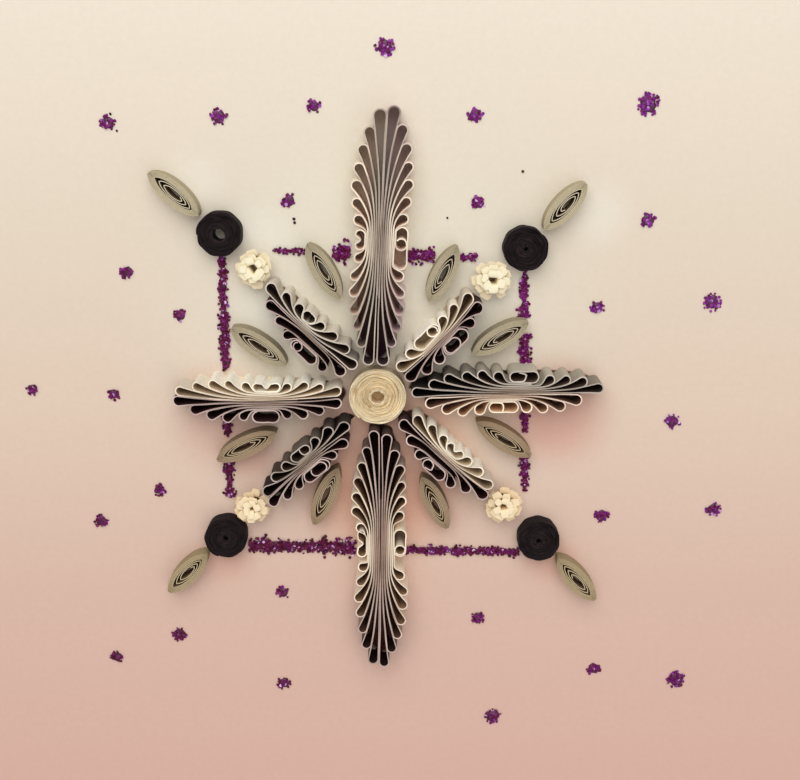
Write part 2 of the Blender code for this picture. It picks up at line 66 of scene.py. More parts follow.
# %% Camera
CAMERA_PLACE = Vector((3.85, 51.99, 195.52)) * MM
CAMERA_TILT = -14.85
LENS_PER_WIDTH = 1150.0 / 800.0

bpy.ops.object.camera_add(location=CAMERA_PLACE, rotation=(math.radians(CAMERA_TILT), 0.0, 0.0))
camera = bpy.context.object
camera.name = "photo_camera"
camera.data.sensor_width = 36.0
camera.data.lens = 36.0 * LENS_PER_WIDTH
camera.data.clip_start = 5 * MM
camera.data.clip_end = 20.0
bpy.context.scene.camera = camera
print("camera", [round(v * 1000) for v in camera.location], "lens", round(camera.data.lens, 1))

# %% [markdown]
# ## Light and floor
# A wide lamp stands beyond the card's top edge and to the left, so the strips' shadows fall softly
# down and to the right. A warm, even world fills those shadows, because light that bounces off
# the card comes back warm. The floor is plain and pale and belongs to the stage.

# %% Lamps, world and floor
def add_lamp(name, place, size, watts, colour):
    """A square area lamp that points at the middle of the card."""
    bpy.ops.object.light_add(type="AREA", location=place)
    lamp = bpy.context.object
    lamp.name = name
    lamp.rotation_euler = (-Vector(place)).to_track_quat("-Z", "Y").to_euler()
    lamp.data.size = size
    lamp.data.energy = watts
    lamp.data.color = colour
    return lamp


add_lamp("window_light", (-0.05, 0.42, 0.50), 0.62, 2.95, (1.0, 0.985, 0.955))
add_lamp("room_light", (0.20, -0.20, 0.60), 0.60, 0.75, (1.0, 0.96, 0.92))

world = bpy.data.worlds.new("room")
bpy.context.scene.world = world
world.use_nodes = True
world.node_tree.nodes["Background"].inputs["Color"].default_value = (1.0, 0.94, 0.92, 1.0)
world.node_tree.nodes["Background"].inputs["Strength"].default_value = 0.50

bpy.context.scene.view_settings.view_transform = "Standard"

bpy.ops.mesh.primitive_plane_add(size=3.0, location=(0.0, 0.0, -0.0002))
floor = bpy.context.object
floor.name = "pale_floor"
floor_paint = bpy.data.materials.new("pale_floor")
floor_paint.use_nodes = True
floor_paint.node_tree.nodes["Principled BSDF"].inputs["Base Color"].default_value = (0.82, 0.81, 0.79, 1.0)
floor_paint.node_tree.nodes["Principled BSDF"].inputs["Roughness"].default_value = 0.9
floor.data.materials.append(floor_paint)
print("lamps and floor are set")

# %% [markdown]
# ## Small helpers
# An operator works on everything that is selected, and the loaded solids are selected, so each step first
# selects only the piece that it is for. A finished piece gets its name, rides on the one body that the card
# has, and hides the solid that it stands for.

# %% Helpers for selecting and finishing
def select_only(*things):
    """Selects these objects alone, and makes the first the active one."""
    bpy.ops.object.select_all(action="DESELECT")
    for thing in things:
        thing.select_set(True)
    bpy.context.view_layer.objects.active = things[0]


def apply_place(piece):
    """Puts a piece's place, turn and scale into its mesh."""
    select_only(piece)
    bpy.ops.object.transform_apply(location=True, rotation=True, scale=True)


def apply_modifiers(piece):
    select_only(piece)
    for modifier in list(piece.modifiers):
        bpy.ops.object.modifier_apply(modifier=modifier.name)


def finish_piece(piece, name, slot, *solids):
    """Names a piece, puts it on its body and hides the solids that it stands for; slot is not used."""
    piece.name = name
    piece.data.name = name
    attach(piece, "root")
    if solids:
        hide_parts(*solids)
    return piece


def direction(bearing):
    """A step of length 1 towards a bearing in degrees."""
    return Vector((math.cos(math.radians(bearing)), math.sin(math.radians(bearing))))


print("helpers ready")

# %% [markdown]
# ## Paper
# Dyed paper isn't one flat colour. Its fibres take the dye unevenly and catch the light, so each
# paper gets a fine noise in colour and in bump, at the scale of fibres. By hand, each material is a
# small tree in the Shader Editor. The trees are much alike, so a few helpers build them. Each adds
# one node, links what goes into it, and gives back the socket that comes out.

# %% Helpers for node trees
def new_material(name, roughness, specular=0.25):
    material = bpy.data.materials.new(name)
    material.use_nodes = True
    shader = material.node_tree.nodes["Principled BSDF"]
    shader.inputs["Roughness"].default_value = roughness
    shader.inputs["Specular IOR Level"].default_value = specular
    return material, material.node_tree, shader


def add_node(tree, kind, sources=(), **settings):
    """A node with its settings. What goes into a socket is another node's output or a plain value."""
    node = tree.nodes.new(kind)
    for key, value in settings.items():
        setattr(node, key, value)
    for socket, source in dict(sources).items():
        if isinstance(source, bpy.types.NodeSocket):
            tree.links.new(source, node.inputs[socket])
        else:
            node.inputs[socket].default_value = source
    return node


def object_place(tree):
    return add_node(tree, "ShaderNodeTexCoord").outputs["Object"]


def axes_of(tree, place):
    return add_node(tree, "ShaderNodeSeparateXYZ", {"Vector": place}).outputs


def point_value(tree, name):
    """A number that a piece keeps for each of its points."""
    return add_node(tree, "ShaderNodeAttribute", attribute_name=name).outputs["Fac"]


def calculate(tree, operation, *values):
    return add_node(tree, "ShaderNodeMath", dict(enumerate(values)), operation=operation).outputs["Value"]


def map_range(tree, value, first, last, low=0.0, high=1.0, kind="LINEAR"):
    """Turns a value between first and last into one between low and high."""
    sources = {"Value": value, "From Min": first, "From Max": last, "To Min": low, "To Max": high}
    return add_node(tree, "ShaderNodeMapRange", sources, interpolation_type=kind).outputs["Result"]


print("helpers for numbers ready")


# %% Helpers for colours
def colour_ramp(tree, value, stops):
    """The colour that (position, colour) stops give for a value."""
    node = add_node(tree, "ShaderNodeValToRGB", {"Fac": value})
    points = node.color_ramp.elements
    while len(points) < len(stops):
        points.new(0.5)
    for point, (position, colour) in zip(points, stops):
        point.position = position
        point.color = (*colour, 1.0)
    return node.outputs["Color"]


def mix_colours(tree, share, first, second):
    """The first colour where the share is 0, and the second where it is 1."""
    colours = {"Factor": share, 6: first, 7: second}
    return add_node(tree, "ShaderNodeMix", colours, data_type="RGBA").outputs[2]


def scale_colour(tree, colour, strength):
    sources = {0: colour, "Scale": strength}
    return add_node(tree, "ShaderNodeVectorMath", sources, operation="SCALE").outputs["Vector"]


def fibre_noise(tree, scale, depth, shader, strength):
    """Bump from paper fibres; gives back the noise, to tint the colour with as well."""
    grain = {"Vector": object_place(tree), "Scale": scale, "Detail": 6.0, "Roughness": 0.65}
    fibres = add_node(tree, "ShaderNodeTexNoise", grain).outputs["Fac"]
    bump = add_node(tree, "ShaderNodeBump", {"Height": fibres, "Strength": strength, "Distance": depth})
    tree.links.new(bump.outputs["Normal"], shader.inputs["Normal"])
    return fibres


def tint_with(tree, fibres, colour, shader, amount):
    """Lightens and darkens a colour a little with the fibre noise, and gives it to the shader."""
    contrast = map_range(tree, fibres, 0.3, 0.7, 1.0 - amount, 1.0 + amount)
    tree.links.new(scale_colour(tree, colour, contrast), shader.inputs["Base Color"])


print("helpers for colours ready")

# %% [markdown]
# ## Dyed faces and cut edges
# A strip's faces change tone along it, as paper does that was dyed from one end. Light that falls into a
# loop reaches its walls only after others, so the face inside is painted darker and warmer than the one
# outside, as painted shade. The cut edges are pale, and painted duller at the waist, partly their dye and
# partly painted shade, where many passes lie pressed together. One ramp per paper gives the tones, and the
# strip's points say where each belongs.

# %% Papers and cut edges
PAPER_ROUGHNESS = 0.82
FIBRE_SCALE = 2600.0
FIBRE_DEPTH = 0.03 * MM


def paper(name, stops, variation=0.06, inside_sign=0.0, inside_shade=(1.0, 1.0, 1.0)):
    """Paper dyed from one tone to the next along the strip; its face inside a loop can be painted darker,
    as painted shade.
    """
    material, tree, shader = new_material(name, PAPER_ROUGHNESS)
    fibres = fibre_noise(tree, FIBRE_SCALE, FIBRE_DEPTH, shader, 0.35)
    tone = colour_ramp(tree, point_value(tree, "along"), stops)
    if inside_sign:
        reach = 0.3 * inside_sign
        share = map_range(tree, point_value(tree, "inside"), reach, -reach, kind="SMOOTHSTEP")
        darker = add_node(tree, "ShaderNodeVectorMath", {0: tone, 1: inside_shade}, operation="MULTIPLY")
        tone = mix_colours(tree, share, tone, darker.outputs["Vector"])
    tint_with(tree, fibres, tone, shader, variation)
    return material


def cut_edge(name, waist, stops, variation=0.55):
    """A strip's pale cut edge, which is painted duller at the waist, where its first passes are hidden,
    partly as their dye and partly as painted shade between the pressed passes.
    """
    material, tree, shader = new_material(name, PAPER_ROUGHNESS)
    fibres = fibre_noise(tree, FIBRE_SCALE, FIBRE_DEPTH, shader, 0.35)
    along = point_value(tree, "along")
    pressed = colour_ramp(tree, along, [(0.0, waist), (0.45, waist), (1.0, stops[-1][1])])
    tone = mix_colours(tree, point_value(tree, "loose"), pressed, colour_ramp(tree, along, stops))
    passes = calculate(tree, "MULTIPLY_ADD", point_value(tree, "shade"), variation, 1.0)
    tint_with(tree, fibres, scale_colour(tree, tone, passes), shader, 0.08)
    return material


print("papers can be dyed")

# %% The nine dyes
# Each dye has the tones of its faces from the strip's start to its end, what they are multiplied by inside
# the loops as painted shade, the cut edge's tone at the waist, which is partly dye and partly painted
# shade, the cut edge's tones from start to end, and the painted light and shade that it lends the card
# below, in the strip's tone, from the petal's tip at the coil to its outer tip
Dye = namedtuple("Dye", "faces inside waist edges floor")

dye_table = {
    "ash": Dye(
        [(0.0, (0.035, 0.020, 0.020)), (0.22, (0.11, 0.080, 0.073)), (0.42, (0.36, 0.30, 0.255)),
         (0.6, (0.70, 0.61, 0.54)), (1.0, (0.92, 0.82, 0.70))],
        (1.0, 0.88, 0.82), (0.38, 0.31, 0.24),
        [(0.1, (0.60, 0.52, 0.45)), (0.35, (0.52, 0.46, 0.39)), (0.6, (0.38, 0.33, 0.27)),
         (0.78, (0.56, 0.49, 0.40)), (1.0, (0.87, 0.77, 0.62))],
        [(0.04, (0.06, 0.02, 0.025)), (0.2, (0.16, 0.09, 0.08)), (0.42, (0.80, 0.68, 0.55)),
         (1.0, (0.88, 0.75, 0.64))]),
    "plum": Dye(
        [(0.0, (0.032, 0.018, 0.023)), (0.22, (0.095, 0.058, 0.072)), (0.42, (0.35, 0.24, 0.29)),
         (0.6, (0.64, 0.50, 0.55)), (0.85, (0.80, 0.67, 0.65)), (1.0, (0.90, 0.78, 0.68))],
        (1.0, 0.92, 0.88), (0.36, 0.285, 0.23),
        [(0.1, (0.58, 0.49, 0.44)), (0.35, (0.50, 0.43, 0.38)), (0.6, (0.39, 0.33, 0.29)),
         (0.78, (0.55, 0.47, 0.40)), (1.0, (0.87, 0.76, 0.62))],
        [(0.04, (0.05, 0.02, 0.03)), (0.2, (0.12, 0.07, 0.065)), (0.42, (0.78, 0.62, 0.50)),
         (1.0, (0.68, 0.55, 0.51))]),
    "umber": Dye(
        [(0.0, (0.035, 0.018, 0.016)), (0.35, (0.10, 0.06, 0.05)), (0.52, (0.40, 0.31, 0.25)),
         (0.7, (0.78, 0.67, 0.53)), (1.0, (0.92, 0.82, 0.65))],
        (0.42, 0.29, 0.21), (0.40, 0.27, 0.21),
        [(0.0, (0.50, 0.39, 0.37)), (0.45, (0.58, 0.46, 0.40)), (1.0, (0.98, 0.86, 0.68))],
        [(0.04, (0.02, 0.008, 0.008)), (0.26, (0.06, 0.025, 0.02)), (0.42, (0.55, 0.38, 0.28)),
         (0.56, (0.75, 0.58, 0.42)), (0.7, (0.50, 0.35, 0.26)), (0.84, (0.18, 0.09, 0.07)),
         (0.96, (0.12, 0.035, 0.03))]),
    "ivory": Dye(
        [(0.0, (0.60, 0.53, 0.45)), (0.35, (0.80, 0.73, 0.60)), (0.6, (0.96, 0.92, 0.80)),
         (1.0, (0.99, 0.96, 0.85))],
        (0.78, 0.67, 0.54), (0.55, 0.43, 0.31),
        [(0.0, (0.84, 0.71, 0.58)), (1.0, (0.98, 0.92, 0.76))],
        [(0.04, (0.08, 0.03, 0.025)), (0.2, (0.20, 0.12, 0.08)), (0.45, (0.92, 0.79, 0.59)),
         (0.6, (0.92, 0.79, 0.59)), (0.8, (0.43, 0.30, 0.22)), (0.96, (0.22, 0.13, 0.10))]),
    "maroon": Dye(
        [(0.0, (0.035, 0.012, 0.013)), (1.0, (0.055, 0.023, 0.022))],
        (0.95, 0.75, 0.65), (0.31, 0.225, 0.18),
        [(0.0, (0.53, 0.41, 0.38)), (1.0, (0.58, 0.46, 0.42))],
        [(0.0, (0.05, 0.012, 0.012)), (1.0, (0.11, 0.022, 0.018))]),
    "slate": Dye(
        [(0.0, (0.018, 0.012, 0.011)), (0.4, (0.055, 0.044, 0.038)), (0.65, (0.20, 0.175, 0.145)),
         (1.0, (0.53, 0.49, 0.40))],
        (0.24, 0.16, 0.13), (0.28, 0.21, 0.155),
        [(0.0, (0.46, 0.40, 0.36)), (1.0, (0.58, 0.53, 0.46))],
        [(0.1, (0.02, 0.010, 0.009)), (0.5, (0.05, 0.025, 0.02)), (0.7, (0.14, 0.08, 0.065)),
         (1.0, (0.16, 0.09, 0.07))]),
    "coal": Dye(
        [(0.0, (0.018, 0.012, 0.011)), (0.4, (0.050, 0.038, 0.032)), (1.0, (0.17, 0.135, 0.105))],
        (0.6, 0.45, 0.38), (0.28, 0.21, 0.155),
        [(0.0, (0.44, 0.37, 0.33)), (1.0, (0.50, 0.43, 0.37))],
        [(0.1, (0.02, 0.010, 0.009)), (1.0, (0.06, 0.03, 0.025))]),
    "smoke": Dye(
        [(0.0, (0.28, 0.235, 0.21)), (0.4, (0.58, 0.53, 0.46)), (0.8, (0.78, 0.73, 0.62))],
        (0.27, 0.20, 0.16), (0.37, 0.31, 0.25),
        [(0.0, (0.62, 0.55, 0.48)), (1.0, (0.74, 0.68, 0.58))],
        [(0.1, (0.08, 0.045, 0.03)), (0.5, (0.10, 0.06, 0.04)), (0.7, (0.24, 0.16, 0.12)),
         (1.0, (0.26, 0.16, 0.13))]),
    "blush": Dye(
        [(0.0, (0.12, 0.065, 0.048)), (0.35, (0.27, 0.16, 0.115)), (0.65, (0.54, 0.36, 0.23)),
         (1.0, (0.84, 0.67, 0.48))],
        (0.95, 0.81, 0.69), (0.46, 0.33, 0.24),
        [(0.0, (0.88, 0.69, 0.58)), (1.0, (0.99, 0.88, 0.70))],
        [(0.05, (0.18, 0.09, 0.06)), (0.2, (0.34, 0.21, 0.14)), (0.4, (0.62, 0.45, 0.32)),
         (0.55, (0.52, 0.36, 0.25)), (0.75, (0.30, 0.16, 0.11)), (1.0, (0.28, 0.15, 0.11))]),
}
strip_walls, strip_edges = {}, {}
for name, dye in dye_table.items():
    left_face = paper(f"{name}_paper_left_face", dye.faces, 0.06, 1.0, dye.inside)
    right_face = paper(f"{name}_paper_right_face", dye.faces, 0.06, -1.0, dye.inside)
    strip_walls[name] = (left_face, right_face)
    strip_edges[name] = cut_edge(f"{name}_cut_edge", dye.waist, dye.edges)
print("papers:", len(strip_walls), "walls and", len(strip_edges), "cut edges")

# %% [markdown]
# ## The card
# The card is a sheet with a cut edge, painted from warm cream at its top to a darker dusty pink at its
# foot. That ramp on the card's own Y is partly the card's own tint and partly painted light, falling off
# across the card. Soft round patches lie over it: a cool, pale patch of painted light behind the snowflake,
# rosy patches of painted shadow below the petals, warm as if light came back from dyed paper, and small
# pale patches of painted light. Each fades by its distance from a point. The sheet starts as a cube at the
# card's size, and its edges get a small bevel, as cut card has.

# %% Card material
card_paper, card_tree, card_shader = new_material("tinted_card_with_painted_light", 0.9)
card_fibres = fibre_noise(card_tree, 900.0, 0.05 * MM, card_shader, 0.25)
card_place = object_place(card_tree)
card_height = map_range(card_tree, axes_of(card_tree, card_place)["Y"], -CARD_SIDE / 2, CARD_SIDE / 2)
# Darker and pinker towards the foot: partly the card's own tint, partly painted light falling off across
# the card
card_colour = colour_ramp(card_tree, card_height, [
    (0.08, (0.70, 0.46, 0.39)), (0.30, (0.705, 0.505, 0.42)), (0.48, (0.74, 0.60, 0.49)),
    (0.68, (0.76, 0.68, 0.56)), (0.90, (0.83, 0.765, 0.655))])


def add_patch(colour_below, middle, full_reach, reach, strength, tone):
    """Lays a soft round patch of another tone over the card's colour, with its place in mm."""
    ends = {0: card_place, 1: (middle[0] * MM, middle[1] * MM, CARD_TOP)}
    distance = add_node(card_tree, "ShaderNodeVectorMath", ends, operation="DISTANCE").outputs["Value"]
    share = map_range(card_tree, distance, full_reach * MM, reach * MM, strength, 0.0, "SMOOTHSTEP")
    return mix_colours(card_tree, share, colour_below, (*tone, 1.0))


# Each patch has its middle, how far its full tone and all of it reach, its strength and its tone
patches = [
    # A cool, pale patch of painted light behind the snowflake's upper middle
    ((0, 14), 8, 50, 0.75, (0.76, 0.75, 0.63)),
    # Rosy painted shadow round the south petal, below the centre
    ((1, -13), 9, 22, 0.85, (0.68, 0.39, 0.29)),
    # Rosy painted shadows below the east and west petals
    ((31, -4), 3, 13, 0.75, (0.68, 0.38, 0.31)),
    ((-27, -5), 3, 13, 0.6, (0.68, 0.41, 0.34)),
]
# Small rosy painted shadows beside pieces low on the card
for spot in ((-28, -31), (31, -31), (-22, -12)):
    patches.append((spot, 1, 7, 0.45, (0.70, 0.36, 0.28)))
# Small pale patches of painted light
for spot in ((-31, 36), (-20, 27), (37, 31), (20, 20), (-20, 15)):
    patches.append((spot, 1, 8, 0.4, (0.87, 0.86, 0.77)))
patches.append(((0, 0), 2, 3, 1.0, (0.85, 0.68, 0.40)))
for patch in patches:
    card_colour = add_patch(card_colour, *patch)
print("card material has", len(card_tree.nodes), "nodes")

# %% Card sheet
bpy.ops.object.select_all(action="DESELECT")
bpy.ops.mesh.primitive_cube_add(size=1.0, location=(0.0, 0.0, CARD_TOP / 2))
card = bpy.context.object
bpy.ops.object.mode_set(mode="EDIT")
bpy.ops.transform.resize(value=(CARD_SIDE, CARD_SIDE, CARD_TOP))
bpy.ops.mesh.bevel(offset=0.12 * MM, segments=2, affect="EDGES")
bpy.ops.object.mode_set(mode="OBJECT")
apply_place(card)
card.data.materials.append(card_paper)
finish_piece(card, "card_sheet", "cream_card", "backing_card")
print("card", [round(v * 1000, 1) for v in card.dimensions])

# %% [markdown]
# ## A strip on edge
# Every quilled piece is one strip that stands on its edge. By hand that is a drawn line, made a
# mesh, extruded upwards by the strip's width and given the paper's thickness by Solidify. Solidify
# can give the two faces and the rim a material each, so the face inside a loop has its own, and so
# have the cut edges. Each point also keeps a few numbers for the materials: how far along the strip
# it is, how loose the strip is there, which face is inside, and a slow change from pass to pass.

# %% Lines and what their points keep
def draw_line(name, points, foot):
    curve = bpy.data.curves.new(name, "CURVE")
    curve.dimensions = "3D"
    spline = curve.splines.new("POLY")
    spline.points.add(len(points) - 1)
    for place, point in zip(spline.points, points):
        place.co = (point[0], point[1], foot, 1.0)
    line = bpy.data.objects.new(name, curve)
    bpy.context.collection.objects.link(line)
    select_only(line)
    bpy.ops.object.convert(target="MESH")
    return bpy.context.object


def lengths_along(points):
    """How far along the line each point is."""
    lengths = [0.0]
    for first, last in zip(points, points[1:]):
        lengths.append(lengths[-1] + math.dist(first, last))
    return lengths


def shares_along(points):
    """The same, from 0 at the line's start to 1 at its end."""
    lengths = lengths_along(points)
    return [length / lengths[-1] for length in lengths]


def numbers_of(mesh, points):
    """Which of the line's points each vertex of its wall stands over."""
    order = {(round(x * 1e7), round(y * 1e7)): number for number, (x, y) in enumerate(points)}
    numbers = []
    for vertex in mesh.vertices:
        number = order.get((round(vertex.co.x * 1e7), round(vertex.co.y * 1e7)))
        if number is None:
            number = min(order.values(), key=lambda i: math.dist(points[i], vertex.co.xy))
        numbers.append(number)
    return numbers


def write_values(mesh, name, values):
    """Keeps one value for each point of a mesh, for the materials to read."""
    attribute = mesh.attributes.new(name, "FLOAT", "POINT")
    attribute.data.foreach_set("value", values)


print("lines can be drawn")

# %% A strip from a line
WAVE_LENGTH = 3.5 * MM
SHADE_LENGTH = 5 * MM
PRESSED_THICKNESS = 0.64


def make_strip(name, points, foot, top, walls, edges, thickness, waves=0.0, seed=0.0, loose=None,
               dye_places=None, inside=None, splays=None):
    """Stands a line of points up as a paper strip. Where it isn't loose, its cut edge looks thinner."""
    strip = draw_line(name, points, foot)
    bpy.ops.object.mode_set(mode="EDIT")
    bpy.ops.mesh.select_all(action="SELECT")
    bpy.ops.mesh.extrude_region_move(TRANSFORM_OT_translate={"value": (0.0, 0.0, top - foot)})
    bpy.ops.object.mode_set(mode="OBJECT")
    mesh = strip.data
    numbers = numbers_of(mesh, points)
    shares = shares_along(points)
    total = lengths_along(points)[-1]
    for vertex, number in zip(mesh.vertices, numbers):
        if vertex.co.z > (foot + top) / 2:
            vertex.co.z += waves * noise.noise(Vector((shares[number] * total / WAVE_LENGTH, seed, 0.0)))
        elif splays:
            vertex.co.x += splays[number].x
            vertex.co.y += splays[number].y
    looseness = loose or [1.0] * len(points)
    kept = {
        "along": dye_places or shares,
        "loose": looseness,
        "shade": [noise.noise(Vector((share * total / SHADE_LENGTH, seed, 7.0))) for share in shares],
        "inside": inside or [0.0] * len(points),
    }
    for value_name, values in kept.items():
        write_values(mesh, value_name, [values[number] for number in numbers])
    group = strip.vertex_groups.new(name="loose")
    for index, number in enumerate(numbers):
        group.add([index], looseness[number], "REPLACE")
    for material in (walls[0], edges, walls[1]):
        mesh.materials.append(material)
    paper_wall = strip.modifiers.new("paper", "SOLIDIFY")
    paper_wall.thickness = thickness
    paper_wall.offset = 0.0
    paper_wall.use_even_offset = True
    paper_wall.material_offset_rim = 1
    paper_wall.material_offset = 2
    if loose:
        paper_wall.vertex_group = "loose"
        paper_wall.thickness_vertex_group = PRESSED_THICKNESS
    apply_modifiers(strip)
    bpy.ops.object.shade_smooth_by_angle(angle=math.radians(40))
    return strip


print("strip helpers ready")

# %% [markdown]
# ## Comb-quilled petals
# Half a petal is one strip, wound to and fro over the teeth of a comb. Each turn makes a loop, and
# each loop leans on the one before, so the loops fan out like a feather. The path is worked out
# loop by loop: out along the last wall, round a head, and back along a new wall that opens just
# as far as the head needs. Long loops stay closed farther than short ones, which gives each its
# teardrop shape. The last stretch makes the small piece in the middle, in one of five ways.

# %% Sizes of the petals
# These are in millimetres, until a strip is laid on the card
PASS_PITCH = 0.168
SEAM_GAP = 0.25
LOOP_GAP = 0.08
FAN_POWER = 2.3
CENTRE_RADIUS = 5.0
SOLID_TIP_RADIUS = 0.92
TURN_GAP = 0.17
HEAD_STEPS = 16
STATIONS = 22
PETAL_TOP = PAPER_FOOT + 5.0 * MM
COIL_TOP = PAPER_FOOT + 3.0 * MM

# radius and tip_radius are those of the loops' heads, and a long loop closes over its taper
Petal = namedtuple("Petal", "bearing gap shift bow pitch radius tip_radius taper halves")

# A middle piece has ends of one radius, a half length, and a ring or the strip's end inside it
Middle = namedtuple("Middle", "kind radius length inside stretch offset", defaults=(0.0, 0.0, 0.0))

# room is how far the last heads of its two sides stand apart, for the middle piece. inner and outer say how
# large the heads towards the coil and away from it are, step how far the outer ones stand apart, channel
# after which pass a gap stays open and how wide it is, splay how much wider the strip stands at its foot,
# and tint how much paler the outer loops are made, partly by their dye and partly as painted light, since
# the loops near the coil stand in more shade
Half = namedtuple(
    "Half", "slot dye start room inner_loops outer_loops middle inner outer step channel splay tint",
    defaults=(1.0, 1.0, 1.0, (99, 0.0), 0.0, 0.0))

petals = {
    "north": Petal(87.1, 1.2, 0.66, 0.1, 2.82, 0.84, 1.02, 8.5, {
        "left": Half("grey_paper", "ash", -0.05, 6.36, 7, 7, Middle("lobes", 0.8, 0.85),
                     inner=0.9, splay=0.03, tint=0.55),
        "right": Half("plum_paper", "plum", 0.1, 9.58, 6, 7, Middle("ring", 1.12, 2.45, -0.7),
                      splay=0.03, tint=0.55)}),
    "south": Petal(-90.7, 0.7, 0.58, 0.2, 2.82, 0.82, 0.86, 8.5, {
        "right": Half("grey_paper", "umber", 0.3, 11.38, 6, 7, Middle("ring", 1.05, 1.5, -1.35, 0.0, -0.6)),
        "left": Half("grey_paper", "umber", -0.3, 8.56, 7, 7, Middle("lobes", 0.8, 1.65, 0, 0, -1.2),
                     step=1.07)}),
    "west": Petal(179.4, 1.1, -0.43, 0.8, 2.78, 0.80, 0.84, 8.5, {
        "lower": Half("black_paper", "maroon", 0.0, 7.54, 4, 5, Middle("oval", 1.05, 1.3)),
        "upper": Half("white_paper", "ivory", 0.0, 7.14, 4, 5, Middle("lobes", 0.74, 1.6), 0.94, 0.92,
                      splay=0.06)}),
    "east": Petal(1.0, 0.6, 0.39, 0.3, 2.78, 0.80, 0.82, 8.5, {
        "upper": Half("slate_paper", "slate", 0.25, 8.66, 6, 4, Middle("seven", 1.0, 1.5, 0.2),
                      splay=0.05, tint=0.8),
        "lower": Half("blush_paper", "blush", 2.6, 8.12, 4, 4, Middle("divided", 0.92, 1.6, -0.1),
                      1.1, 1.14)}),
    "northwest": Petal(136.3, 1.9, -0.6, 0.25, 2.75, 0.84, 0.92, 7.0, {
        "lower": Half("black_paper", "maroon", 0.3, 7.85, 2, 3, Middle("ring", 0.92, 1.75, -1.4),
                      1.0, 0.93, channel=(2, 0.95)),
        "upper": Half("slate_paper", "smoke", -0.3, 4.75, 4, 3, Middle("oval", 0.85, 0.45),
                      splay=0.09, tint=0.2)}),
    "northeast": Petal(47.1, 1.2, -0.26, -0.45, 2.75, 0.86, 0.96, 7.0, {
        "upper": Half("white_paper", "ivory", 0.15, 7.65, 2, 3, Middle("ring", 1.05, 1.6, -1.3),
                      splay=0.05),
        "lower": Half("black_paper", "maroon", -0.15, 7.95, 3, 2, Middle("ring", 1.15, 1.5, -0.8, 0.5))}),
    "southwest": Petal(-138.8, 2.7, 0.79, -0.3, 2.75, 0.84, 0.92, 7.0, {
        "lower": Half("slate_paper", "maroon", 1.0, 7.95, 2, 3, Middle("ring", 1.1, 1.6, 0.5, 0.6)),
        "upper": Half("black_paper", "coal", -1.2, 6.8, 3, 3, Middle("divided", 0.9, 1.1, -0.2),
                      splay=0.06)}),
    "southeast": Petal(-43.0, 1.0, 0.96, -0.55, 2.75, 0.84, 0.92, 7.0, {
        "upper": Half("white_paper", "ivory", 0.6, 5.8, 3, 3, Middle("lobes", 0.85, 0.95), splay=0.02),
        "lower": Half("black_paper", "maroon", -0.6, 7.6, 3, 3, Middle("seven", 1.0, 1.4, -0.5),
                      channel=(3, 0.75))}),
}
print("petals:", len(petals))


# %% The outlines of the middle pieces
def arc(centre, radius, first, last, steps=HEAD_STEPS):
    """Points round a centre, from one angle to another in degrees."""
    points = []
    for step in range(steps + 1):
        angle = math.radians(first + (last - first) * step / steps)
        points.append((centre[0] + radius * math.cos(angle), centre[1] + radius * math.sin(angle)))
    return points


def lobes_outline(radius, half):
    """Two lobes with a soft dip between them."""
    hollow = 0.95 * radius if half < 1.3 * radius else 0.8 * radius
    dip = min(half, 1.3 * radius)
    points = arc((half, radius), radius, -90, 90)
    for share in (0.75, 0.5, 0.25, 0.0, -0.25, -0.5, -0.75):
        depth = (2 * radius - hollow) * math.cos(math.pi * share / 2) ** 2
        points.append((share * dip, 2 * radius - depth))
    return points + arc((-half, radius), radius, 90, 262)


def middle_outline(middle):
    """The last stretch of a strip, with x along the petal and y away from the waist."""
    radius, half, inside = middle.radius, middle.length, middle.inside
    if middle.kind == "lobes":
        return lobes_outline(radius, half)
    points = arc((half, radius), radius, -90, 90)
    points += [(0.3 * half, 1.92 * radius), (-0.4 * half, 1.96 * radius)]
    points += arc((-half, radius), radius - TURN_GAP / 2, 90, 262)
    if middle.kind in ("divided", "seven"):
        points += [(inside - 0.5, TURN_GAP), (inside - 0.1, 0.35 * radius), (inside + 0.1, 0.8 * radius)]
    if middle.kind == "divided":
        points += [(inside + 0.1, 1.3 * radius), (inside - 0.05, 1.85 * radius)]
    if middle.kind == "seven":
        points += [(inside + 0.22, 1.25 * radius), (inside, 1.5 * radius), (inside - 0.5, 1.62 * radius)]
        points += [(inside - 1.0, 1.72 * radius)]
    if middle.kind == "ring":
        ring_radius = radius - 0.8 * TURN_GAP
        ring_y = radius + 0.1 * TURN_GAP
        points += arc((inside + middle.stretch, ring_y), ring_radius, -100, 90)
        points += arc((inside - middle.stretch, ring_y), ring_radius - TURN_GAP / 2, 90, 235)
    return points


print("middle pieces can be drawn")

# %% [markdown]
# ## The path of a comb-quilled strip
# Two numbers place a point of the strip: u along the petal from its waist, and v away from its seam.
# Each pass has its own row at the waist. Each loop pushes the later passes on its side outwards by a
# power of their distance from the waist, so the walls stay pressed together there and fan out
# towards the heads. Where a head's arc ends and its wall goes back is found in a few tries.

